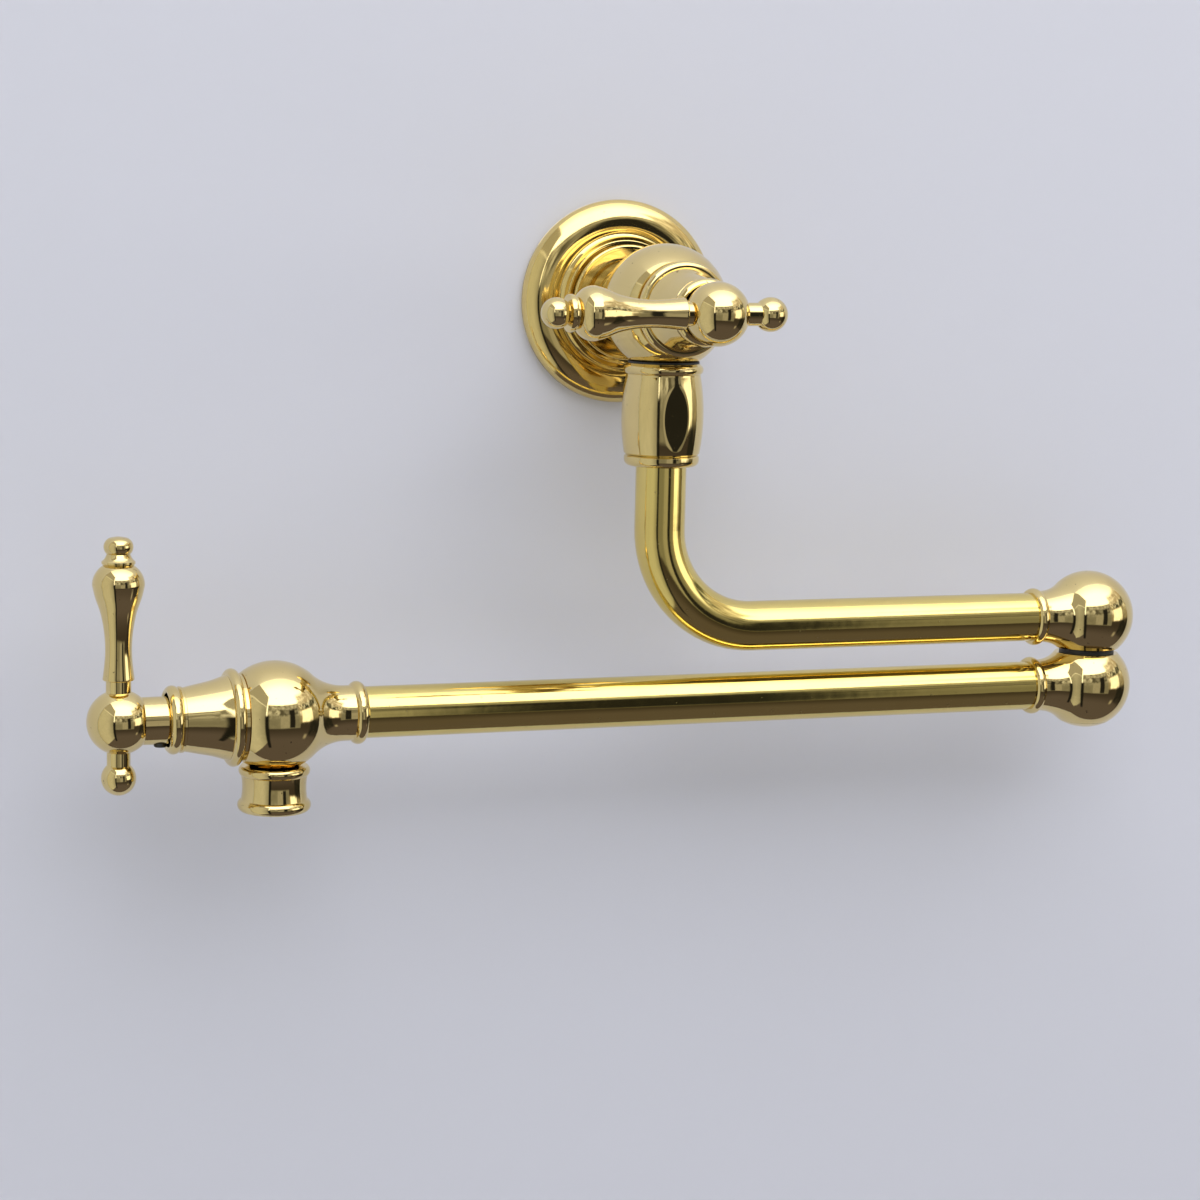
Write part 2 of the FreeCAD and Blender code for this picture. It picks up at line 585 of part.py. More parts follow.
def spindle(hub_station):
    """Turns the moving disc; its foot is held under the step in the cartridge."""
    top = hub_station - SPINDLE_STOP
    neck = CARTRIDGE_TOP + BOTTOM_GAP
    foot_top = CARTRIDGE_STEP - FLOAT
    outline = Outline(0, SPINDLE_LOW).line(SPINDLE_FOOT, SPINDLE_LOW)
    outline.line(SPINDLE_FOOT, foot_top).line(SPINDLE_RADIUS, foot_top)
    outline.line(SPINDLE_RADIUS, neck).line(SPINDLE_TOP_RADIUS, neck)
    outline.line(SPINDLE_TOP_RADIUS, top - EDGE).line(SPINDLE_TOP_RADIUS - EDGE, top)
    outline.line(0, top)
    ring_groove = groove(SPINDLE_RADIUS - 2 * RING_WIRE, SPINDLE_RADIUS, SPINDLE_RING_STATION)
    return outline.turned().cut(ring_groove)


def spindle_o_ring():
    return rubber_ring(SPINDLE_RADIUS - 2 * RING_WIRE, SPINDLE_RING_STATION)


# ---- handles, drawn from the hub's centre; +Z is the spindle axis, +X the lever -------
def hub(screw_back, screw_angle):
    """Ball on a neck, bored for the spindle, the lever, the counter knob and a screw."""
    neck_end = -HUB_NECK_LENGTH
    outline = Outline(0, neck_end).line(HUB_NECK_RADIUS - EDGE, neck_end)
    outline.line(HUB_NECK_RADIUS, neck_end + EDGE)
    outline.line(HUB_NECK_RADIUS, -on_sphere(HUB_RADIUS, HUB_NECK_RADIUS))
    outline.arc((HUB_RADIUS, 0), 0, HUB_RADIUS)
    past = HUB_RADIUS + OVERCUT
    drill = rod(SOCKET_RADIUS + THREAD, SOCKET_DEPTH - BOTTOM_GAP, past)
    spindle_bore = rod(SPINDLE_TOP_RADIUS + THREAD, neck_end, BOTTOM_GAP - SPINDLE_STOP)
    screw_hole = rod(SET_SCREW_RADIUS + THREAD, 0, past)
    flat_spot = rod(STUB_SEAT, SEAT_OUT, past)
    cuts = [spindle_bore, sideways(screw_hole, screw_angle, -screw_back)]
    cuts += [sideways(cut, angle, 0) for cut in (drill, flat_spot) for angle in (0, 180)]
    return outline.turned().cut(cuts)


def threaded_stub():
    """The screwed end and plain neck that a lever and a counter knob both start with."""
    outline = Outline(0, SOCKET_DEPTH).line(SOCKET_RADIUS, SOCKET_DEPTH)
    return outline.line(SOCKET_RADIUS, SEAT_OUT + FACE).line(STUB_RADIUS, SEAT_OUT + FACE)


def baluster(foot, waist, belly, shoulder, neck):
    """Stub, rounded foot, slim waist, round belly and the neck before the tip."""
    foot_radius, foot_station = foot
    radius, station = waist
    swell = belly[0] - radius
    span = belly[1] - station
    outline = threaded_stub().line(STUB_RADIUS, foot_station)
    outline.line(foot_radius - LEVER_FOOT_ROUND, foot_station)
    outline.arc((foot_radius - 0.16, foot_station + 0.16),
                foot_radius, foot_station + LEVER_FOOT_ROUND)
    rise = [(radius + share * swell, station + length * span) for share, length in BALUSTER_SWELL]
    return outline.curve(waist, *rise, belly).arc(shoulder, *neck)


def wall_lever():
    """Round tip on a double ring."""
    outline = baluster(WALL_LEVER_FOOT, WALL_LEVER_WAIST, WALL_LEVER_BELLY,
                       WALL_LEVER_SHOULDER, WALL_LEVER_NECK)
    for edge, crest, low, high in WALL_LEVER_RINGS:
        outline.line(edge, low).arc((crest, (low + high) / 2), edge, high)
    neck, _ = WALL_TIP_NECK
    outline.line(*WALL_TIP_NECK).line(neck, WALL_TIP_OUT - on_sphere(WALL_TIP_RADIUS, neck))
    outline.arc((WALL_TIP_RADIUS, WALL_TIP_OUT), 0, WALL_TIP_OUT + WALL_TIP_RADIUS)
    return sideways(outline.turned(), 0, 0)


def outlet_lever():
    """Flattened tip on a flared skirt."""
    skirt, skirt_station = OUTLET_LEVER_SKIRT
    outline = baluster(OUTLET_LEVER_FOOT, OUTLET_LEVER_WAIST, OUTLET_LEVER_BELLY,
                       OUTLET_LEVER_SHOULDER, OUTLET_LEVER_NECK)
    outline.line(skirt, skirt_station).line(skirt, skirt_station + SKIRT_WIDTH)
    outline.curve(OUTLET_TIP_FLARE, OUTLET_TIP_NECK)
    outline.arc(OUTLET_TIP, *OUTLET_TIP_EDGE).cap(OUTLET_TIP_END)
    return sideways(outline.turned(), 0, 0)


def counter_knob():
    outline = threaded_stub().line(STUB_RADIUS, KNOB_OUT - on_sphere(KNOB_RADIUS, STUB_RADIUS))
    outline.arc((KNOB_RADIUS, KNOB_OUT), 0, KNOB_OUT + KNOB_RADIUS)
    return sideways(outline.turned(), 180, 0)


def set_screw(screw_back, screw_angle):
    """Grub screw with a hexagon socket, sunk just under the hub's surface."""
    surface = HUB_NECK_RADIUS
    if screw_back < on_sphere(HUB_RADIUS, HUB_NECK_RADIUS):
        surface = on_sphere(HUB_RADIUS, screw_back)
    top = surface - SET_SCREW_SUNK
    screw = rod(SET_SCREW_RADIUS, SPINDLE_TOP_RADIUS + FACE, top)
    key = hexagon(SET_SCREW_FLATS, top - SET_SCREW_SOCKET, top + OVERCUT)
    return sideways(screw.cut(key), screw_angle, -screw_back)


# ---- coupling under the wall valve, drawn downward from the valve's axis --------------
def coupling_washer():
    return ring(OUTLET_SPIGOT + THREAD, COUPLING_WASHER, OUTLET_FLAT + FACE, COUPLING_TOP - FACE)


def coupling_nut():
    """Barrel nut: bead on top, and a pointed oval flat at the front and the back."""
    cavity = OUTLET_SPIGOT + THREAD
    bore = TUBE_RADIUS + RUNNING
    bead_start = COUPLING_TOP + EDGE
    outline = Outline(cavity, COUPLING_TOP).line(COUPLING_NECK - EDGE, COUPLING_TOP)
    outline.line(COUPLING_NECK, bead_start)
    outline.bead(COUPLING_BEAD, COUPLING_BEAD_END - bead_start)
    outline.line(COUPLING_NECK, COUPLING_BEAD_END + EDGE)
    outline.arc((COUPLING_BELLY, COUPLING_BELLY_STATION), COUPLING_FOOT, COUPLING_END - EDGE)
    outline.line(COUPLING_FOOT - EDGE, COUPLING_END)
    outline.line(bore, COUPLING_END).line(bore, COUPLING_SHOULDER).line(cavity, COUPLING_SHOULDER)
    nut = outline.turned()
    wide, thick = 4 * COUPLING_BELLY, COUPLING_BELLY
    tall = COUPLING_END - COUPLING_BEAD_END
    for low in (COUPLING_FLAT, -COUPLING_FLAT - thick):
        corner = Vector(-wide / 2, low, COUPLING_BEAD_END + 2 * EDGE)
        nut = nut.cut(Part.makeBox(wide, thick, tall, corner))
    rims = [edge for edge in nut.Edges
            if all(abs(abs(vertex.Y) - COUPLING_FLAT) < THREAD for vertex in edge.Vertexes)
            and edge.BoundBox.YLength < THREAD]
    return nut.makeFillet(COUPLING_FLAT_EDGE, rims)


def coupling_thrust_washer():
    low = OUTLET_SPIGOT_END + FACE
    return ring(OUTLET_BORE + FLOAT, OUTLET_SPIGOT - SLACK, low, low + THRUST_THICKNESS)


def coupling_glide_ring():
    high = COUPLING_SHOULDER - FACE
    return ring(TUBE_RADIUS + RUNNING, OUTLET_SPIGOT - THREAD, high - GLIDE_THICKNESS, high)


def arm_swivel_sleeve():
    """Turned end of the arm: nose with two rings, flange, and a spigot in the tube."""
    nose = OUTLET_BORE - RUNNING
    flange = OUTLET_SPIGOT - SLACK
    end = SLEEVE_FLANGE_END + SPIGOT_LENGTH
    outline = Outline(SLEEVE_BORE, SLEEVE_TOP).line(nose - EDGE, SLEEVE_TOP)
    outline.line(nose, SLEEVE_TOP + EDGE).line(nose, SLEEVE_FLANGE_TOP)
    outline.line(flange, SLEEVE_FLANGE_TOP).line(flange, SLEEVE_FLANGE_END)
    outline.line(TUBE_SPIGOT, SLEEVE_FLANGE_END).line(TUBE_SPIGOT, end).line(SLEEVE_BORE, end)
    cuts = [groove(nose - 2 * RING_WIRE, nose, station) for station in SLEEVE_RINGS]
    return outline.turned().cut(cuts)


def sleeve_o_rings():
    nose = OUTLET_BORE - RUNNING
    return Part.makeCompound([rubber_ring(nose - 2 * RING_WIRE, s) for s in SLEEVE_RINGS])


def arm_collar():
    """Ring brazed on the tube just under the coupling, rounded off below."""
    low = COUPLING_END + COLLAR_GAP
    high = low + ARM_COLLAR_LENGTH
    bore = TUBE_RADIUS + THREAD
    crest = ARM_COLLAR_RADIUS
    outline = Outline(bore, low).line(crest - EDGE, low).line(crest, low + EDGE)
    outline.line(crest, high - ARM_COLLAR_TAPER).round_to(crest - ARM_COLLAR_TAPER, high)
    return outline.line(bore, high).turned()


# ---- arms -----------------------------------------------------------------------------
def tube_run(start, way, length):
    """A straight length of tube."""
    outer = Part.makeCylinder(TUBE_RADIUS, length, start, way)
    return outer.cut(Part.makeCylinder(TUBE_BORE, length, start, way))


def tube_bend(corner_centre, start, axis, angle):
    """A bent length of tube that starts at a point and turns about a centre."""
    face = Part.Face([Part.Wire(Part.makeCircle(TUBE_RADIUS, start, DOWN)),
                      Part.Wire(Part.makeCircle(TUBE_BORE, start, DOWN))])
    return face.revolve(corner_centre, axis, angle)


def first_arm_tube():
    """Drops from the coupling, bends a quarter turn and runs out to the elbow."""
    top = SWIVEL + DOWN * SLEEVE_FLANGE_END
    bend_start = SWIVEL + DOWN * (FIRST_ARM_DROP - BEND_RADIUS)
    bend_centre = bend_start + Vector(BEND_RADIUS, 0, 0)
    run_start = bend_centre + DOWN * BEND_RADIUS
    drop = tube_run(top, DOWN, top.z - bend_start.z)
    bend = tube_bend(bend_centre, bend_start, OUT_OF_WALL, 90)
    run = tube_run(run_start, Vector(1, 0, 0), ELBOW_TOP.x - ELBOW_TUBE_FACE - run_start.x)
    return drop.fuse([bend, run]).removeSplitter()


def second_arm_tube():
    start = ELBOW_LOW + LEFT * ELBOW_TUBE_FACE
    length = SECOND_ARM_REACH - ELBOW_TUBE_FACE - OUTLET_TUBE_FACE
    return tube_run(start, LEFT, length)


# ---- elbow, drawn from each bulb's centre toward its tube -----------------------------
def elbow_bulb():
    """Ball that draws in to a neck, with a bead and a spigot for the tube."""
    end = ELBOW_TUBE_FACE + SPIGOT_LENGTH
    outline = Outline(0, end).line(TUBE_SPIGOT, end).line(TUBE_SPIGOT, ELBOW_TUBE_FACE)
    outline.line(ELBOW_NECK, ELBOW_TUBE_FACE).bead(ELBOW_BEAD, -2 * ELBOW_BEAD_HALF)
    blend_into_ball(outline, ELBOW_BALL, ELBOW_NECK, ELBOW_BLEND, 1)
    outline.arc((ELBOW_BALL, 0), 0, -ELBOW_BALL)
    return outline.turned()


def elbow_hollow(flat_way, boss):
    """Water space inside a bulb, short of the thick floor at its flat."""
    hollow = Part.makeSphere(ELBOW_INSIDE)
    floor = placed(slab(ELBOW_FLAT - ELBOW_FLOOR, 2 * ELBOW_BALL), AXIS_START, flat_way, LEFT)
    way_out = placed(rod(WATERWAY, PIVOT_BOSS, ELBOW_TUBE_FACE + SPIGOT_LENGTH), AXIS_START, LEFT)
    return hollow.cut([floor] + boss).fuse(way_out)


def trimmed_bulb(centre, flat_way, boss, bores):
    """A bulb in place, cut flat where it meets the other one, hollow and bored."""
    flat = placed(slab(ELBOW_FLAT, 2 * ELBOW_BALL), AXIS_START, flat_way, LEFT)
    solid = placed(elbow_bulb(), AXIS_START, LEFT)
    solid = solid.cut([flat, elbow_hollow(flat_way, boss)] + bores)
    solid.translate(centre)
    return solid


def elbow_upper_fitting():
    thread = placed(rod(PIVOT_RADIUS + THREAD, 0, ELBOW_BALL), AXIS_START, DOWN, LEFT)
    return trimmed_bulb(ELBOW_TOP, DOWN, [], [thread])


def elbow_lower_fitting():
    """Turns on the pivot; the boss inside it is the bearing."""
    boss_low = ELBOW_FLAT - PIVOT_BOSS_LENGTH
    boss = rod(PIVOT_BOSS, boss_low, ELBOW_BALL)
    bearing = rod(PIVOT_RADIUS + RUNNING, boss_low - OVERCUT, ELBOW_BALL)
    seat = rod(PLUG_RADIUS + PLUG_SIDE_GAP, -ELBOW_BALL - OVERCUT, -PLUG_SEAT)
    thread = rod(PLUG_THREAD + THREAD, -PLUG_SEAT - OVERCUT, -PLUG_TOP)
    return trimmed_bulb(ELBOW_LOW, UP, [boss], [bearing, seat, thread])


def elbow_spindle():
    """Hollow pivot, screwed in the upper bulb, that the lower bulb turns on."""
    top = ELBOW_FLAT - ELBOW_FLOOR + BOTTOM_GAP
    end = PIVOT_STEP + PIVOT_WASHER_THICKNESS + PIVOT_NUT_HEIGHT + 2 * EDGE
    outline = Outline(PIVOT_BORE, top).line(PIVOT_RADIUS, top).line(PIVOT_RADIUS, PIVOT_STEP)
    outline.line(PIVOT_END_RADIUS, PIVOT_STEP).line(PIVOT_END_RADIUS, end).line(PIVOT_BORE, end)
    cuts = [groove(PIVOT_RADIUS - 2 * RING_WIRE, PIVOT_RADIUS, PIVOT_LOW_FLAT + s)
            for s in PIVOT_RINGS]
    return outline.turned().cut(cuts)


def elbow_o_rings():
    inner = PIVOT_RADIUS - 2 * RING_WIRE
    return Part.makeCompound([rubber_ring(inner, PIVOT_LOW_FLAT + s) for s in PIVOT_RINGS])


def elbow_washer():
    return ring(PIVOT_RADIUS + THREAD, ELBOW_WASHER, ELBOW_FLAT + FACE, PIVOT_LOW_FLAT - FLOAT)


def elbow_retaining_washer():
    return ring(PIVOT_END_RADIUS + THREAD, PIVOT_WASHER_RADIUS, PIVOT_STEP + FACE,
                PIVOT_STEP + PIVOT_WASHER_THICKNESS)


def elbow_retaining_nut():
    low = PIVOT_STEP + PIVOT_WASHER_THICKNESS + FACE
    high = low + PIVOT_NUT_HEIGHT
    nut = hexagon(PIVOT_NUT_FLATS, low, high)
    return nut.cut(rod(PIVOT_END_RADIUS + THREAD, low, high))


def elbow_plug():
    """Domed screw plug that carries on the bulb's curve; opens the way to the nut."""
    outline = Outline(0, PLUG_TOP).line(PLUG_THREAD - EDGE, PLUG_TOP)
    outline.line(PLUG_THREAD, PLUG_TOP + EDGE).line(PLUG_THREAD, PLUG_SEAT + FACE)
    outline.line(PLUG_RADIUS, PLUG_SEAT + FACE).line(PLUG_RADIUS, PLUG_EDGE).cap(PLUG_DOME)
    ring_groove = groove(PLUG_THREAD - 2 * RING_WIRE, PLUG_THREAD, PLUG_RING)
    key = hexagon(PLUG_KEY_FLATS, PLUG_DOME - PLUG_KEY_DEPTH, PLUG_DOME + OVERCUT)
    return outline.turned().cut([ring_groove, key])


def elbow_plug_seal():
    return rubber_ring(PLUG_THREAD - 2 * RING_WIRE, PLUG_RING)


# ---- spout, drawn downward from the outlet valve's axis -------------------------------
def spout_nozzle():
    """Short waisted spout between two beads, screwed up into the valve."""
    collar_end = SPOUT_TOP + 2 * SPOUT_COLLAR_HALF
    bead_start = SPOUT_END - 2 * SPOUT_BEAD_HALF
    outline = Outline(SPOUT_BORE, SPOUT_THREAD_TOP).line(SPOUT_THREAD, SPOUT_THREAD_TOP)
    outline.line(SPOUT_THREAD, SPOUT_TOP).line(SPOUT_EDGE, SPOUT_TOP)
    outline.bead(SPOUT_COLLAR, 2 * SPOUT_COLLAR_HALF)
    outline.arc((SPOUT_WAIST, (collar_end + bead_start) / 2), SPOUT_EDGE, bead_start)
    outline.bead(SPOUT_BEAD, 2 * SPOUT_BEAD_HALF)
    outline.line(AERATOR_BORE + SPOUT_LIP, SPOUT_END).line(AERATOR_BORE, SPOUT_END - SPOUT_LIP)
    return outline.line(AERATOR_BORE, AERATOR_TOP).line(SPOUT_BORE, AERATOR_TOP).turned()


def aerator_washer():
    low = AERATOR_TOP + FACE
    return ring(AERATOR_WASHER_BORE, AERATOR_BORE - THREAD, low, low + AERATOR_WASHER_HEIGHT)


def aerator_screens():
    """A pack of fine screens, drawn as plain thin discs."""
    radius = AERATOR_BORE - AERATOR_SHELL - 2 * FLOAT
    lows = [SCREENS_LOW + FACE + 2 * i * SCREEN_THICKNESS for i in range(SCREEN_COUNT)]
    return Part.makeCompound([rod(radius, low, low + SCREEN_THICKNESS) for low in lows])


def aerator_insert():
    """Cup that holds the screens; its floor is rings and spokes that the water leaves by."""
    outer = AERATOR_BORE - THREAD
    inner = outer - AERATOR_SHELL
    end = SPOUT_END - AERATOR_RECESS
    shell = ring(inner, outer, SCREENS_LOW + FACE, end)
    grille_low = SCREENS_HIGH + FACE
    half = AERATOR_RIB / 2
    bars = [ring(radius - half, radius + half, grille_low, end) for radius in AERATOR_RINGS]
    for i in range(AERATOR_SPOKES):
        spoke = Part.makeBox(inner + half, AERATOR_RIB, end - grille_low,
                             Vector(0, -half, grille_low))
        spoke.rotate(AXIS_START, UP, i * 360 / AERATOR_SPOKES)
        bars.append(spoke)
    return shell.fuse(bars).removeSplitter()


# ---- assembly -------------------------------------------------------------------------
def valve_parts(prefix, ball_centre, out, bonnet_out, hub_out):
    """Bonnet, cartridge and spindle of one valve, in place."""
    bead = ball_centre + out * bonnet_out
    pieces = {"bonnet": bonnet(), "bonnet_seal": bonnet_seal(), "cartridge": cartridge(),
              "seat_seal": seat_seal(), "fixed_disc": fixed_disc(),
              "moving_disc": moving_disc(), "spindle": spindle(hub_out - bonnet_out),
              "spindle_o_ring": spindle_o_ring()}
    return {prefix + name: placed(piece, bead, out) for name, piece in pieces.items()}


def handle_parts(prefix, hub_centre, out, lever_way, lever, screw_back, screw_angle):
    """Hub, lever, counter knob and set screw of one valve, in place."""
    pieces = {"hub": hub(screw_back, screw_angle), "lever": lever,
              "counter_knob": counter_knob(),
              "set_screw": set_screw(screw_back, screw_angle)}
    return {prefix + name: placed(piece, hub_centre, out, lever_way)
            for name, piece in pieces.items()}


def wall_parts():
    nodes = {"wall_flange": placed(wall_flange(), AXIS_START, OUT_OF_WALL),
             "flange_lock_ring": placed(flange_lock_ring(), AXIS_START, OUT_OF_WALL),
             "inlet_nipple": placed(inlet_nipple(), AXIS_START, OUT_OF_WALL),
             "wall_valve_body": wall_valve_body()}
    nodes.update(valve_parts("wall_", SWIVEL, OUT_OF_WALL, WALL_BONNET_OUT, WALL_HUB_OUT))
    nodes.update(handle_parts("wall_", SWIVEL + OUT_OF_WALL * WALL_HUB_OUT, OUT_OF_WALL,
                              LEFT, wall_lever(), WALL_SCREW_BACK, 90))
    for make in (coupling_washer, coupling_nut, coupling_thrust_washer, coupling_glide_ring):
        nodes[make.__name__] = placed(make(), SWIVEL, DOWN, LEFT)
    return nodes


def arm_parts():
    nodes = {"first_arm_tube": first_arm_tube(), "second_arm_tube": second_arm_tube(),
             "elbow_upper_fitting": elbow_upper_fitting(),
             "elbow_lower_fitting": elbow_lower_fitting()}
    for make in (arm_swivel_sleeve, sleeve_o_rings, arm_collar):
        nodes[make.__name__] = placed(make(), SWIVEL, DOWN, LEFT)
    for make in (elbow_spindle, elbow_o_rings, elbow_washer, elbow_retaining_washer,
                 elbow_retaining_nut):
        nodes[make.__name__] = placed(make(), ELBOW_TOP, DOWN, LEFT)
    for make in (elbow_plug, elbow_plug_seal):
        nodes[make.__name__] = placed(make(), ELBOW_LOW, DOWN, LEFT)
    return nodes


def outlet_parts():
    nodes = {"outlet_valve_body": outlet_valve_body()}
    nodes.update(valve_parts("outlet_", OUTLET, LEFT, OUTLET_BONNET_OUT, OUTLET_HUB_OUT))
    nodes.update(handle_parts("outlet_", OUTLET + LEFT * OUTLET_HUB_OUT, LEFT,
                              UP, outlet_lever(), OUTLET_SCREW_BACK, 180))
    for make in (spout_nozzle, aerator_washer, aerator_screens, aerator_insert):
        nodes[make.__name__] = placed(make(), OUTLET, DOWN, LEFT)
    return nodes


def main():
    os.makedirs("parts", exist_ok=True)
    nodes = {**wall_parts(), **arm_parts(), **outlet_parts()}
    for name, shape in nodes.items():
        shape.exportStep("parts/" + name + ".step")
        print(name, "valid" if shape.isValid() else "NOT VALID", len(shape.Solids), round(shape.Volume, 1))


main()
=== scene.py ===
import json
import math

import bmesh
import bpy
from mathutils import Matrix, Vector


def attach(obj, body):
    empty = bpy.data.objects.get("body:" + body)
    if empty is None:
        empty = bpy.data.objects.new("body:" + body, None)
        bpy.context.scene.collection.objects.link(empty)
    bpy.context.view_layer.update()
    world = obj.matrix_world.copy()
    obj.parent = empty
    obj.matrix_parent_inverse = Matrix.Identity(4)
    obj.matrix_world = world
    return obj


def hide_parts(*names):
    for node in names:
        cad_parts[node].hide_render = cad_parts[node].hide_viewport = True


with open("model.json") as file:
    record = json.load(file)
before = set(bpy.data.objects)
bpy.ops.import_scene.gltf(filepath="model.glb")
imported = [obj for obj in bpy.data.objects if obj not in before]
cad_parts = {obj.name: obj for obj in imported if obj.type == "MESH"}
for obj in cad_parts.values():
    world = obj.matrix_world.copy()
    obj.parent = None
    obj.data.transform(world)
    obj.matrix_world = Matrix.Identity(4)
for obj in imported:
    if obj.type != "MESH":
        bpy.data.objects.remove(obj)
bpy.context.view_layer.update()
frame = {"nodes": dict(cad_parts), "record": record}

MM = 0.001
scene = bpy.context.scene


# ---- node graphs ----------------------------------------------------------------------
class Graph:
    """Short ways to add shader nodes to a material or to the world."""

    def __init__(self, owner):
        owner.use_nodes = True
        self.tree = owner.node_tree
        self.tree.nodes.clear()

    def feed(self, socket, value):
        if isinstance(value, bpy.types.NodeSocket):
            self.tree.links.new(value, socket)
        else:
            socket.default_value = value

    def add(self, kind, inputs=None, **settings):
        node = self.tree.nodes.new("ShaderNode" + kind)
        for name, value in settings.items():
            setattr(node, name, value)
        for name, value in (inputs or {}).items():
            self.feed(node.inputs[name], value)
        return node

    def math(self, operation, *values, clamp=False):
        node = self.add("Math", dict(enumerate(values)), operation=operation, use_clamp=clamp)
        return node.outputs[0]

    def times(self, a, b):
        return self.math("MULTIPLY", a, b)

    def plus(self, a, b):
        return self.math("ADD", a, b)

    def remap(self, value, low, high, to_low=0.0, to_high=1.0):
        """Value from low..high to to_low..to_high, clamped and eased at both ends."""
        node = self.add("MapRange", {"Value": value, "From Min": low, "From Max": high,
                                     "To Min": to_low, "To Max": to_high},
                        interpolation_type="SMOOTHSTEP")
        return node.outputs[0]

    def mix(self, factor, a, b):
        node = self.add("Mix", data_type="RGBA")
        self.feed(node.inputs[0], factor)
        self.feed(node.inputs[6], a)
        self.feed(node.inputs[7], b)
        return node.outputs[2]

    def blend(self, factor, a, b):
        node = self.add("Mix", data_type="FLOAT")
        self.feed(node.inputs[0], factor)
        self.feed(node.inputs[2], a)
        self.feed(node.inputs[3], b)
        return node.outputs[0]

    def noise(self, vector, scale, detail=2.0, roughness=0.5):
        node = self.add("TexNoise", {"Vector": vector, "Scale": scale, "Detail": detail,
                                     "Roughness": roughness})
        return node.outputs["Fac"]

    def split(self, vector):
        return self.add("SeparateXYZ", {0: vector}).outputs

    def join(self, x, y, z):
        return self.add("CombineXYZ", {0: x, 1: y, 2: z}).outputs[0]

    def bump(self, height, strength, distance, normal=None):
        inputs = {"Height": height, "Strength": strength, "Distance": distance}
        if normal is not None:
            inputs["Normal"] = normal
        return self.add("Bump", inputs).outputs[0]


def rgb(r, g, b):
    return (r, g, b, 1.0)


# ---- camera ---------------------------------------------------------------------------
SENSOR = 36.0              # millimetres
PICTURE_WIDTH = 1200.0     # pixels
FOCAL_PIXELS = 2942.28
CAMERA_PLACE = Vector((-395.17, -1079.06, 44.60)) * MM
CAMERA_YAW = math.radians(19.92)
CAMERA_PITCH = math.radians(8.03)
CAMERA_ROLL = math.radians(1.29)
CAMERA_NEAR = 0.01
CAMERA_FAR = 50.0


def make_camera():
    data = bpy.data.cameras.new("camera")
    data.sensor_width = SENSOR
    data.lens = SENSOR * FOCAL_PIXELS / PICTURE_WIDTH
    data.clip_start = CAMERA_NEAR
    data.clip_end = CAMERA_FAR
    camera = bpy.data.objects.new("camera", data)
    scene.collection.objects.link(camera)
    ahead = Vector((math.sin(CAMERA_YAW) * math.cos(CAMERA_PITCH),
                    math.cos(CAMERA_YAW) * math.cos(CAMERA_PITCH),
                    -math.sin(CAMERA_PITCH)))
    level = Vector((math.cos(CAMERA_YAW), -math.sin(CAMERA_YAW), 0.0))
    above = level.cross(ahead)
    right = level * math.cos(CAMERA_ROLL) + above * math.sin(CAMERA_ROLL)
    up = above * math.cos(CAMERA_ROLL) - level * math.sin(CAMERA_ROLL)
    turn = Matrix((right, up, -ahead)).transposed().to_4x4()
    camera.matrix_world = Matrix.Translation(CAMERA_PLACE) @ turn
    scene.camera = camera


# ---- studio ---------------------------------------------------------------------------
# The tent around the object, by azimuth from straight out of the wall, positive to the
# object's +X, and by elevation, both in degrees. The roof is brightest out in front.
ROOF_BESIDE = 1.75
ROOF_FRONT = 2.9
ROOF_TINT = (0.985, 0.99, 1.02)
ROOF_TURN = (0.0, 0.55)    # from beside the object to in front, as a share of straight out
ROOF_EDGE = (-4.0, 14.0)   # elevations between which the roof takes over from the ground
GROUND_NEAR = (0.120, 0.102, 0.110)
GROUND_FAR = (0.055, 0.046, 0.042)
GROUND_EDGE = (-45.0, -18.0)
# Tall panel on the left: slopes of its front edge, foot, top and of the band above it.
PANEL_FRONT = 1.55
PANEL_FOOT = -1.85
PANEL_TOP = 0.78
PANEL_CROWN = 1.75
PANEL_FRONT_SOFT = 0.06
PANEL_SOFT = 0.05
PANEL_COLOR = (0.60, 0.60, 0.55)
PANEL_SHADE = 0.58         # how bright the panel is at its sides, as a share of its color
PANEL_GLOW = (-92.0, -44.0, 14.0, 0.45)    # azimuths, softness and gain of its bright middle
PANEL_UNEVEN = 0.05
PANEL_CROWN_COLOR = (0.46, 0.45, 0.42)
# Low screens, cards and flags: left, right, low, high, softness, color and unevenness.
STUDIO_CARDS = (
    (-31.0, 38.0, -19.0, 28.0, 1.5, (0.27, 0.265, 0.235), 0.15),
    (-6.0, 34.0, 7.0, 19.0, 2.0, (0.11, 0.105, 0.09), 0.25),
    (-4.0, 14.0, -18.0, 5.0, 1.5, (0.42, 0.41, 0.38), 0.2),
    (15.0, 26.0, -18.0, 17.0, 1.5, (0.020, 0.020, 0.020), 0.0),
    (36.0, 100.0, -10.0, 30.0, 3.0, (0.40, 0.36, 0.27), 0.4),
    (40.0, 118.0, 24.0, 42.0, 5.0, (0.62, 0.55, 0.47), 0.3),
    (48.0, 100.0, 14.0, 23.0, 2.5, (0.07, 0.08, 0.07), 0.5),
    (43.0, 70.0, -9.0, 12.0, 2.0, (1.9, 1.85, 1.7), 0.25),
    (62.0, 112.0, -33.0, -7.0, 3.0, (0.022, 0.022, 0.020), 0.35),
    (52.0, 59.0, -38.0, -31.0, 3.0, (0.45, 0.42, 0.38), 0.0),
    (-35.0, -27.0, -58.0, 6.0, 2.0, (0.015, 0.015, 0.015), 0.0))
BACKDROP = rgb(0.70, 0.715, 0.80)
FLOOR = rgb(0.62, 0.62, 0.63)
PALE = rgb(0.80, 0.81, 0.84)
WALL_BACK = 0.0006         # metres from the flange's rear face to the backdrop
FLOOR_LEVEL = -0.75
STAGE_HALF = 3.5
TENT_RADIUS = 3.0


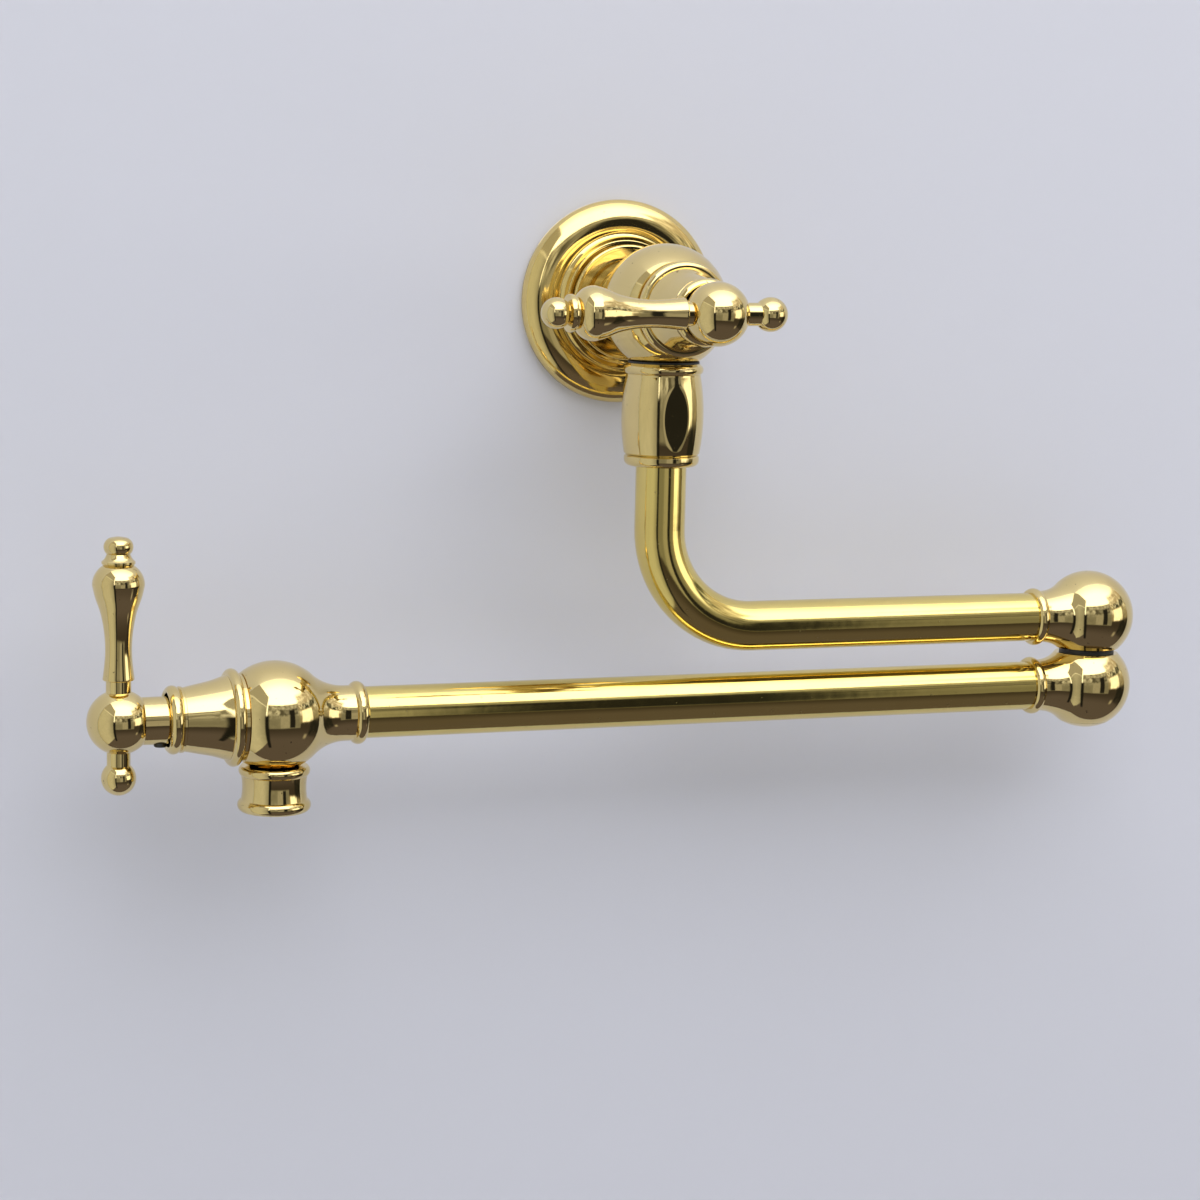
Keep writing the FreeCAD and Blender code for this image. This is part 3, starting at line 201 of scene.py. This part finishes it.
def make_world():
    world = bpy.data.worlds.new("pale")
    scene.world = world
    g = Graph(world)
    pale = g.add("Background", {"Color": PALE, "Strength": 1.0})
    g.add("OutputWorld", {"Surface": pale.outputs[0]})


def inside(g, value, low, high, soft):
    """1 between low and high, with soft ends."""
    return g.times(g.remap(value, low - soft, low + soft),
                   g.remap(value, high - soft, high + soft, 1.0, 0.0))


def make_light_tent():
    """Soft light on all sides: a bright roof, a tall panel, low screens and a dim base."""
    cloth = bpy.data.materials.new("tent")
    g = Graph(cloth)
    place = g.add("VectorMath", {0: g.add("NewGeometry").outputs["Position"]},
                  operation="NORMALIZE").outputs[0]
    x, y, z = g.split(place)
    out = g.times(y, -1.0)
    elevation = g.times(g.math("ARCSINE", z), math.degrees(1))
    azimuth = g.times(g.math("ARCTAN2", x, out), math.degrees(1))
    uneven = g.remap(g.noise(place, 7.0, 3.0, 0.6), 0.3, 0.7, -1.0, 1.0)
    roof = g.mix(g.remap(out, *ROOF_TURN), rgb(*(ROOF_BESIDE * c for c in ROOF_TINT)),
                 rgb(*(ROOF_FRONT * c for c in ROOF_TINT)))
    ground = g.mix(g.remap(elevation, *GROUND_EDGE), rgb(*GROUND_NEAR), rgb(*GROUND_FAR))
    color = g.mix(g.remap(elevation, *ROOF_EDGE), ground, roof)
    aside = g.math("MAXIMUM", g.times(x, -1.0), 0.001)
    slope = g.math("DIVIDE", z, aside)
    panel = g.remap(g.math("DIVIDE", out, aside), PANEL_FRONT - PANEL_FRONT_SOFT,
                    PANEL_FRONT + PANEL_FRONT_SOFT, 1.0, 0.0)
    crown = g.times(panel, inside(g, slope, PANEL_TOP, PANEL_CROWN, PANEL_SOFT))
    color = g.mix(crown, color, rgb(*PANEL_CROWN_COLOR))
    lower = g.times(panel, inside(g, slope, PANEL_FOOT, PANEL_TOP, PANEL_SOFT))
    left, right, soft, gain = PANEL_GLOW
    shade = g.times(inside(g, azimuth, left, right, soft), gain)
    shade = g.plus(g.plus(shade, PANEL_SHADE), g.times(uneven, PANEL_UNEVEN))
    sheet = g.add("VectorMath", {0: PANEL_COLOR, "Scale": shade}, operation="SCALE")
    color = g.mix(lower, color, sheet.outputs[0])
    for left, right, low, high, soft, shade, rough in STUDIO_CARDS:
        card = g.times(inside(g, azimuth, left, right, soft),
                       inside(g, elevation, low, high, soft))
        if rough:
            patches = g.plus(1.0 - 0.5 * rough, g.times(uneven, 0.8 * rough))
            card = g.math("MULTIPLY", card, patches, clamp=True)
        color = g.mix(card, color, rgb(*shade))
    glow = g.add("Emission", {"Color": color, "Strength": 1.0})
    g.add("OutputMaterial", {"Surface": glow.outputs[0]})
    mesh = bpy.data.meshes.new("tent")
    shell = bmesh.new()
    bmesh.ops.create_icosphere(shell, subdivisions=2, radius=TENT_RADIUS)
    shell.to_mesh(mesh)
    shell.free()
    mesh.materials.append(cloth)
    tent = bpy.data.objects.new("tent", mesh)
    scene.collection.objects.link(tent)
    tent.visible_camera = False


def stage_plane(name, corners, material):
    mesh = bpy.data.meshes.new(name)
    mesh.from_pydata(corners, [], [(0, 1, 2, 3)])
    plane = bpy.data.objects.new(name, mesh)
    scene.collection.objects.link(plane)
    mesh.materials.append(material)
    return plane


def make_stage():
    """A pale backdrop behind the object, clear from its back, and a pale floor."""
    wall = bpy.data.materials.new("pale_wall")
    g = Graph(wall)
    painted = g.add("BsdfPrincipled", {"Base Color": BACKDROP, "Roughness": 0.5})
    clear = g.add("BsdfTransparent")
    rays = g.add("LightPath").outputs
    close = g.math("LESS_THAN", rays["Ray Length"], 3 * WALL_BACK)
    away = g.math("MAXIMUM", g.add("NewGeometry").outputs["Backfacing"], close)
    both = g.add("MixShader", {0: away, 1: painted.outputs[0], 2: clear.outputs[0]})
    g.add("OutputMaterial", {"Surface": both.outputs[0]})
    far, low, high = STAGE_HALF, FLOOR_LEVEL, STAGE_HALF
    stage_plane("wall", [(-far, WALL_BACK, low), (far, WALL_BACK, low),
                         (far, WALL_BACK, high), (-far, WALL_BACK, high)], wall)
    ground = bpy.data.materials.new("pale_floor")
    g = Graph(ground)
    plain = g.add("BsdfDiffuse", {"Color": FLOOR})
    g.add("OutputMaterial", {"Surface": plain.outputs[0]})
    floor = stage_plane("floor", [(-far, -far, low), (far, -far, low), (far, far, low),
                                  (-far, far, low)], ground)
    floor.visible_glossy = False


# ---- materials ------------------------------------------------------------------------
def object_point(g):
    return g.add("TexCoord").outputs["Object"]


TUBE_BRASS = (0.82, 0.66, 0.23)
CAST_BRASS = (0.81, 0.65, 0.30)
FLANGE_BRASS = (0.82, 0.64, 0.26)
INNER_BRASS = (0.72, 0.56, 0.30)
DEEPENED = (0.93, 0.88, 0.80)          # how the brass drifts to a deeper shade
PIT = rgb(0.16, 0.11, 0.05)
PIT_LEVELS = (0.715, 0.76)             # noise levels where pits begin and are full
BEND_CENTRE = (0.0381, -0.0829)        # X and Z of the first arm's bend
ARM_SPLIT = -0.1347                    # Z between the two arms
LINE_STRETCH = 0.012                   # change along a tube beside the change across it
GRAIN_DEPTH = 0.00004
WAVE_DEPTH = 0.0004


def tube_lines(g, point):
    """Fine drawing lines that follow each tube, also round the first arm's bend."""
    x, y, z = g.split(point)
    bend_x, bend_z = BEND_CENTRE
    aside = g.math("MAXIMUM", g.math("SUBTRACT", bend_x, x), 0.0)
    below = g.math("MAXIMUM", g.math("SUBTRACT", bend_z, z), 0.0)
    upper = g.math("POWER", g.plus(g.times(aside, aside), g.times(below, below)), 0.5)
    across = g.blend(g.math("LESS_THAN", z, ARM_SPLIT), upper, z)
    along = g.times(g.math("SUBTRACT", x, z), LINE_STRETCH)
    return g.noise(g.join(across, y, along), 1500.0, 3.0, 0.65)


def polishing_marks(g, point):
    """Faint, close marks on the turned pieces."""
    x, y, z = g.split(point)
    return g.noise(g.join(x, g.times(y, 0.9), z), 420.0, 5.0, 0.7)


def polished_brass(name, color, roughness, grain=None, pits=0.0):
    """Hand polished brass: slow colour drift, faint smears, fine marks and small pits."""
    material = bpy.data.materials.new(name)
    g = Graph(material)
    point = object_point(g)
    deep = tuple(c * f for c, f in zip(color, DEEPENED)) + (1.0,)
    drift = g.remap(g.noise(point, 45.0, 3.0), 0.35, 0.75)
    base = g.mix(g.times(drift, 0.35), color + (1.0,), deep)
    speck = g.remap(g.noise(point, 520.0, 2.0, 0.5), *PIT_LEVELS)
    base = g.mix(g.times(speck, pits), base, PIT)
    smear = g.remap(g.noise(point, 120.0, 4.0, 0.6), 0.35, 0.8)
    rough = g.plus(roughness, g.times(smear, 0.04))
    rough = g.plus(rough, g.times(speck, 0.2))
    wave = g.plus(g.noise(point, 90.0, 2.0), g.times(g.noise(point, 260.0, 2.0), 0.12))
    normal = g.bump(wave, 0.12, WAVE_DEPTH)
    if grain is not None:
        normal = g.bump(grain(g, point), 0.10, GRAIN_DEPTH, normal)
    shader = g.add("BsdfPrincipled", {"Base Color": base, "Metallic": 1.0,
                                      "Roughness": rough, "Normal": normal})
    g.add("OutputMaterial", {"Surface": shader.outputs[0]})
    return material


def plain_finish(name, color, roughness, metallic=0.0, shine=0.5):
    """Steel, ceramic, rubber and plastic: a slightly uneven shade and surface."""
    material = bpy.data.materials.new(name)
    g = Graph(material)
    point = object_point(g)
    shade = g.remap(g.noise(point, 300.0, 3.0), 0.3, 0.7)
    base = g.mix(shade, color, tuple(c * 0.8 for c in color[:3]) + (1.0,))
    rough = g.plus(roughness, g.times(shade, 0.08))
    shader = g.add("BsdfPrincipled", {"Base Color": base, "Metallic": metallic,
                                      "Roughness": rough, "Specular IOR Level": shine,
                                      "Normal": g.bump(shade, 0.1, 0.0001)})
    g.add("OutputMaterial", {"Surface": shader.outputs[0]})
    return material


def make_materials():
    """Gives every node the finish of its slot and returns the finishes by slot."""
    slots = {
        "tube_brass": polished_brass("tube_brass", TUBE_BRASS, 0.085, tube_lines, 0.3),
        "turned_brass": polished_brass("turned_brass", CAST_BRASS, 0.045, polishing_marks, 0.6),
        "flange_brass": polished_brass("flange_brass", FLANGE_BRASS, 0.075, None, 0.4),
        "inner_brass": polished_brass("inner_brass", INNER_BRASS, 0.25),
        "steel": plain_finish("steel", rgb(0.10, 0.10, 0.10), 0.35, 1.0),
        "disc_ceramic": plain_finish("disc_ceramic", rgb(0.85, 0.84, 0.80), 0.25),
        "seal_rubber": plain_finish("seal_rubber", rgb(0.006, 0.006, 0.006), 0.6, 0.0, 0.15),
        "glide_plastic": plain_finish("glide_plastic", rgb(0.02, 0.02, 0.02), 0.4),
        "aerator_plastic": plain_finish("aerator_plastic", rgb(0.62, 0.62, 0.60), 0.4),
    }
    for subpart in frame["record"]["subparts"]:
        piece = frame["nodes"][subpart["node"]]
        piece.data.materials.clear()
        piece.data.materials.append(slots[subpart["material_slot"]])
    return slots


# ---- turned pieces --------------------------------------------------------------------
# Outlines are in millimetres: a radius and a station along the piece's own axis.
TURN_STEPS = 192           # faces round a piece
ARC_STEPS = 24             # faces along an arc of the outline
ROUND_STEPS = 12           # faces along a small round and between points of a curve
SHARP = math.radians(24)   # outline corners above this stay crisp
AXIS = 1e-4                # a radius below this is on the axis


def on_sphere(sphere, radius):
    """How far from its centre a ball has the given radius."""
    return math.sqrt(sphere ** 2 - radius ** 2)


def smooth_through(stops):
    """Points of a natural cubic curve through the given points."""
    last = len(stops) - 1
    gaps = [(b - a).length for a, b in zip(stops, stops[1:])]
    ratio = [0.0] * (last + 1)
    bends = [Vector((0, 0)) for _ in stops]
    for i in range(1, last):
        before = (stops[i] - stops[i - 1]) / gaps[i - 1]
        after = (stops[i + 1] - stops[i]) / gaps[i]
        span = 2 * (gaps[i - 1] + gaps[i]) - gaps[i - 1] * ratio[i - 1]
        ratio[i] = gaps[i] / span
        bends[i] = (6 * (after - before) - gaps[i - 1] * bends[i - 1]) / span
    for i in range(last - 1, 0, -1):
        bends[i] = bends[i] - ratio[i] * bends[i + 1]
    points = []
    for i in range(last):
        for step in range(1, ROUND_STEPS + 1):
            t = step / ROUND_STEPS
            lean = ((1 - t) ** 3 - (1 - t)) * bends[i] + (t ** 3 - t) * bends[i + 1]
            points.append(stops[i].lerp(stops[i + 1], t) + lean * gaps[i] ** 2 / 6)
    return points


class Outline:
    """A half outline that is drawn point by point, then turned about its axis."""

    def __init__(self, radius, station):
        self.points = [Vector((radius, station))]

    def line(self, radius, station):
        target = Vector((radius, station))
        if (target - self.points[-1]).length > 1e-6:
            self.points.append(target)
        return self

    def arc(self, through, radius, station, steps=ARC_STEPS):
        """A circle arc from here through one point to another."""
        start, middle, end = self.points[-1], Vector(through), Vector((radius, station))
        ax, ay = start - end
        bx, by = middle - end
        cross = 2 * (ax * by - ay * bx)
        sa, sb = ax * ax + ay * ay, bx * bx + by * by
        centre = end + Vector(((by * sa - ay * sb) / cross, (ax * sb - bx * sa) / cross))
        first = math.atan2(*reversed(start - centre))
        turn = (math.atan2(*reversed(end - centre)) - first) % math.tau
        half = (math.atan2(*reversed(middle - centre)) - first) % math.tau
        if half > turn:
            turn -= math.tau
        size = (start - centre).length
        for step in range(1, steps + 1):
            angle = first + turn * step / steps
            self.points.append(centre + size * Vector((math.cos(angle), math.sin(angle))))
        self.points[-1] = end
        return self

    def round_to(self, radius, station):
        """A quarter round from a line along the axis to a face square to it."""
        end = self.points[-1]
        lean = 1 - math.sqrt(0.5)
        middle = (end.x + lean * (radius - end.x), station - lean * (station - end.y))
        return self.arc(middle, radius, station, ROUND_STEPS)

    def curve(self, *points):
        """A smooth curve through the given (radius, station) points."""
        self.points += smooth_through([self.points[-1]] + [Vector(point) for point in points])
        return self

    def cap(self, station):
        """A shallow dome from here to the axis, level there."""
        radius, start = self.points[-1]
        rise = station - start
        sphere = (radius ** 2 + rise ** 2) / (2 * abs(rise))
        drop = sphere - on_sphere(sphere, radius / 2)
        return self.arc((radius / 2, station - math.copysign(drop, rise)), 0, station)

    def bead(self, crest, length):
        """A half round bead from here to the same radius, length further on."""
        radius, start = self.points[-1]
        return self.arc((crest, start + length / 2), radius, start + length)

    def turned(self, origin, out, shape=None, turn_steps=TURN_STEPS):
        """The closed outline spun about the axis, as a mesh in the object's frame."""
        points = self.points
        if (points[0] - points[-1]).length < 1e-6:
            points = points[:-1]
        out = Vector(out)
        across = out.orthogonal().normalized() if abs(out.y) > 0.5 else Vector((0, -1, 0))
        level = out.cross(across)
        solid = bmesh.new()
        rings = []
        for radius, station in points:
            steps = turn_steps if radius > AXIS else 1
            ring = []
            for step in range(steps):
                angle = math.tau * step / steps
                u, v = radius * math.cos(angle), radius * math.sin(angle)
                if shape is not None:
                    u, v = shape(u, v, station)
                place = Vector(origin) + across * u + level * v + out * station
                ring.append(solid.verts.new(place * MM))
            rings.append(ring)
        for index, ring in enumerate(rings):
            join_rings(solid, ring, rings[(index + 1) % len(rings)])
        for index, ring in enumerate(rings):
            before = points[index] - points[index - 1]
            after = points[(index + 1) % len(points)] - points[index]
            if len(ring) > 1 and abs(before.angle_signed(after)) > SHARP:
                for a, b in zip(ring, ring[1:] + ring[:1]):
                    edge = solid.edges.get((a, b))
                    if edge:
                        edge.smooth = False
        bmesh.ops.recalc_face_normals(solid, faces=solid.faces)
        return solid


def join_rings(solid, one, other):
    """Faces between two neighbouring rings; a ring of one point is a pole."""
    count = max(len(one), len(other))
    if count == 1:
        return
    for step in range(count):
        corners = [one[step % len(one)], one[(step + 1) % len(one)],
                   other[(step + 1) % len(other)], other[step % len(other)]]
        face = solid.faces.new(dict.fromkeys(corners))
        face.smooth = True


def stand_in(solid, node, body, slots):
    """Makes the mesh a piece that rides on the body in the place of its node."""
    slot = next(s["material_slot"] for s in frame["record"]["subparts"] if s["node"] == node)
    mesh = bpy.data.meshes.new(node + "_form")
    solid.to_mesh(mesh)
    solid.free()
    mesh.materials.append(slots[slot])
    piece = bpy.data.objects.new(node + "_form", mesh)
    scene.collection.objects.link(piece)
    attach(piece, body)
    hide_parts(node)


WALL_OUT = (0, -1, 0)
DOWN = (0, 0, -1)
LEFT = (-1, 0, 0)
UP = (0, 0, 1)

# Where the pieces' stations are counted from, in millimetres.
WALL_CENTRE = (0, 0, 0)
SWIVEL = (0, -52.5, 0)
WALL_BEAD = (0, -72.1, 0)
WALL_HUB = (0, -104.8, 0)
WALL_LEVER = (0, -105, 0)
OUTLET_BEAD = (-163.3, -52.5, -148.5)
OUTLET_SCREW = (-189.6, -52.5, -148.5)
OUTLET_HUB = (-204.0, -52.5, -148.5)
OUTLET_LEVER = (-204.3, -52.5, -148.5)

NECK_BORE = 16.85          # the hole of the flange and of its lock ring
FLANGE_RADIUS = 39.2
RING_RECESS = 22.9         # pocket of the flange that the lock ring sits in
RECESS_FLOOR = 7.8
RECESS_RIM = 10.4
RING_RADIUS = 22.15
RING_FACE = 13.45
RING_MOUTH = 17.75

BONNET_SKIRT = 14.95
BONNET_SEAT = 13.05
BONNET_BORE = 10.45
BONNET_MOUTH = 9.75
BONNET_REAR = -3.6
BONNET_FRONT = 24.0

STUB_CORE = 3.0
STUB_COLLAR = 4.5
FOOT_ROUND = 0.55
SWELL = ((0.23, 0.48), (0.44, 0.64), (0.74, 0.80))    # shares of swell and of length

HUB_NECK = 8.6
HUB_REAR = -19.5

COUPLING_BORE = 11.05
COUPLING_NECK = 13.95
TUBE_HOLE = 9.605
COLLAR_HOLE = 9.575
COLLAR_RADIUS = 14.1
FLAT = 14.55               # coupling axis to each wrench flat
FLAT_BLEND = 0.22          # how softly the flats meet the barrel
FLAT_STATIONS = (25.6, 54.2)

SCREW_LEAN = math.radians(10)          # toward the front from straight down
SOCKET_APOTHEM = 1.25
SOCKET_REACH = 1.3         # rings up to this radius belong to the socket


def flange():
    """Domed plate with a raised shoulder, a dished valley and a pocket for its lock ring."""
    outline = Outline(38.5, 0).line(FLANGE_RADIUS, 0.7).line(FLANGE_RADIUS, 1.9)
    outline.arc((38.97, 3.2), 38.3, 4.38).arc((35.0, 7.04), 30.2, 8.2)
    outline.curve((28.6, 8.07), (27.3, 7.5), (26.3, 7.2), (25.3, 7.7), (24.4, 8.9), (23.85, 9.9))
    outline.round_to(23.45, RECESS_RIM).line(RING_RECESS, RECESS_RIM)
    outline.line(RING_RECESS, RECESS_FLOOR).line(NECK_BORE, RECESS_FLOOR)
    outline.line(NECK_BORE, 3.9).line(20.5, 3.9).arc((28.0, 4.9), 35.0, 4.2).line(36.5, 0)
    return outline.turned(WALL_CENTRE, WALL_OUT)


def lock_ring():
    """Ring in the flange's pocket, with a rounded front edge and a grooved mouth."""
    outline = Outline(NECK_BORE, 7.85).line(21.65, 7.85).line(RING_RADIUS, 8.35)
    outline.line(RING_RADIUS, 12.85).round_to(21.25, 13.75).line(20.55, 13.75)
    outline.line(20.25, RING_FACE).line(RING_MOUTH, RING_FACE).line(RING_MOUTH, 10.95)
    return outline.line(NECK_BORE, 10.95).turned(WALL_CENTRE, WALL_OUT)


def bonnet(origin, out):
    """Turned cap: large bead, long flared cone, fine ring, small bead and open mouth."""
    outline = Outline(BONNET_SKIRT, BONNET_REAR).line(15.4, BONNET_REAR).line(15.7, -3.3)
    outline.line(15.7, -2.1).arc((17.8, 0), 15.5, 2.1)
    outline.curve((13.85, 7.0), (12.75, 12.0), (11.45, 18.2))
    outline.line(11.95, 18.5).line(11.95, 19.3).line(11.45, 19.6).line(11.45, 19.7)
    outline.arc((12.4, 21.6), 10.85, BONNET_FRONT).line(10.25, BONNET_FRONT)
    outline.line(BONNET_MOUTH, 23.5).line(BONNET_MOUTH, 12.5)
    outline.line(BONNET_BORE, 12.5).line(BONNET_BORE, 5.7).line(BONNET_SEAT, 5.7)
    return outline.line(BONNET_SEAT, -2.6).line(BONNET_SKIRT, -2.6).turned(origin, out)


def baluster(foot, waist, belly, shoulder, neck):
    """Stub, rounded foot, slim waist, round belly and the neck before the tip."""
    outline = Outline(0, 4.2).line(STUB_CORE, 4.2).line(STUB_CORE, 10.4).line(STUB_COLLAR, 10.4)
    outline.line(STUB_COLLAR, foot[1]).line(foot[0] - FOOT_ROUND, foot[1])
    outline.arc((foot[0] - 0.16, foot[1] + 0.16), foot[0], foot[1] + FOOT_ROUND, 8)
    swell, span = belly[0] - waist[0], belly[1] - waist[1]
    rise = [(waist[0] + share * swell, waist[1] + length * span) for share, length in SWELL]
    return outline.curve(waist, *rise, belly).arc(shoulder, *neck)


def wall_lever():
    """Lever that ends in two fine rings and a ball."""
    outline = baluster(foot=(5.85, 12.8), waist=(4.95, 24.0), belly=(9.75, 46.4),
                       shoulder=(8.75, 50.6), neck=(5.15, 53.4))
    for edge, crest, low, high in ((6.0, 6.2, 53.6, 54.4), (6.5, 6.72, 54.5, 56.5)):
        outline.line(edge, low).arc((crest, (low + high) / 2), edge, high, 8)
    outline.line(3.9, 56.7).line(3.9, 60.7 - on_sphere(5.5, 3.9))
    return outline.arc((5.5, 60.7), 0, 66.2).turned(WALL_LEVER, LEFT)


def outlet_lever():
    """Lever that ends in a flared skirt and a drop shaped tip."""
    outline = baluster(foot=(5.65, 15.1), waist=(4.75, 25.0), belly=(9.3, 49.2),
                       shoulder=(8.4, 53.0), neck=(5.5, 56.2))
    outline.line(5.98, 57.0).line(5.98, 57.7).curve((5.0, 58.6), (4.15, 60.3))
    outline.arc((5.26, 62.9), 3.3, 66.0).cap(66.5)
    return outline.turned(OUTLET_LEVER, UP)


def hub(radius, origin, out):
    """Ball of a handle with the neck that enters the bonnet's mouth."""
    outline = Outline(0, HUB_REAR).line(8.1, HUB_REAR).line(HUB_NECK, -19.0)
    outline.line(HUB_NECK, -on_sphere(radius, HUB_NECK)).arc((radius, 0), 0, radius, 48)
    return outline.turned(origin, out)


def hexagon_socket(u, v, station):
    """Makes the rings of a screw's socket six sided."""
    if math.hypot(u, v) > SOCKET_REACH:
        return u, v
    corner = math.atan2(v, u) % (math.pi / 3) - math.pi / 6
    return u / math.cos(corner), v / math.cos(corner)


def outlet_set_screw():
    """Screw that stands out of the hub's neck, a little to the front of straight down."""
    outline = Outline(0, 6.0).line(2.4, 6.0).line(2.4, 9.1).line(2.1, 9.4)
    outline.line(SOCKET_APOTHEM, 9.4).line(SOCKET_APOTHEM, 7.6).line(0, 7.6)
    out = (0, -math.sin(SCREW_LEAN), -math.cos(SCREW_LEAN))
    return outline.turned(OUTLET_SCREW, out, hexagon_socket)


def coupling_washer():
    """Black ring between the valve ball and the coupling nut."""
    outline = Outline(COUPLING_BORE, 19.93).line(13.4, 19.93).line(13.4, 20.63)
    return outline.line(COUPLING_BORE, 20.63).turned(SWIVEL, DOWN)


def with_flats(u, v, station):
    """Presses an oval flat into the barrel's front and back."""
    low, high = FLAT_STATIONS
    if not low < station < high:
        return u, v
    depth = abs(u)
    meet = max(FLAT_BLEND - abs(depth - FLAT), 0.0) / FLAT_BLEND
    return math.copysign(min(depth, FLAT) - meet * meet * FLAT_BLEND / 4, u), v


def coupling_nut():
    """Beaded neck and a barrel with two wrench flats, open below for the sleeve."""
    outline = Outline(COUPLING_BORE, 20.68).line(13.45, 20.68).line(COUPLING_NECK, 21.18)
    outline.bead(14.95, 3.5).line(COUPLING_NECK, 25.18).arc((15.4, 39.2), 14.2, 54.23, 96)
    outline.line(13.7, 54.73).line(TUBE_HOLE, 54.73).line(TUBE_HOLE, 48.0)
    return outline.line(COUPLING_BORE, 48.0).turned(SWIVEL, DOWN, with_flats, 2 * TURN_STEPS)


def arm_collar():
    """Ring on the tube right below the coupling nut."""
    outline = Outline(COLLAR_HOLE, 54.98).line(13.6, 54.98).line(COLLAR_RADIUS, 55.48)
    outline.line(COLLAR_RADIUS, 56.78).round_to(11.8, 59.08)
    return outline.line(COLLAR_HOLE, 59.08).turned(SWIVEL, DOWN)


def make_forms(slots):
    """The turned pieces that stand in the place of their nodes."""
    forms = (("wall_flange", "wall_valve", flange()),
             ("flange_lock_ring", "wall_valve", lock_ring()),
             ("wall_bonnet", "wall_valve", bonnet(WALL_BEAD, WALL_OUT)),
             ("coupling_washer", "wall_valve", coupling_washer()),
             ("coupling_nut", "wall_valve", coupling_nut()),
             ("wall_hub", "wall_handle", hub(11.6, WALL_HUB, WALL_OUT)),
             ("wall_lever", "wall_handle", wall_lever()),
             ("arm_collar", "first_arm", arm_collar()),
             ("outlet_bonnet", "second_arm", bonnet(OUTLET_BEAD, LEFT)),
             ("outlet_hub", "outlet_handle", hub(11.7, OUTLET_HUB, LEFT)),
             ("outlet_lever", "outlet_handle", outlet_lever()),
             ("outlet_set_screw", "outlet_handle", outlet_set_screw()))
    for node, body, solid in forms:
        stand_in(solid, node, body, slots)


# ---- build ----------------------------------------------------------------------------
scene.view_settings.view_transform = "Standard"
make_camera()
make_world()
make_light_tent()
make_stage()
make_forms(make_materials())
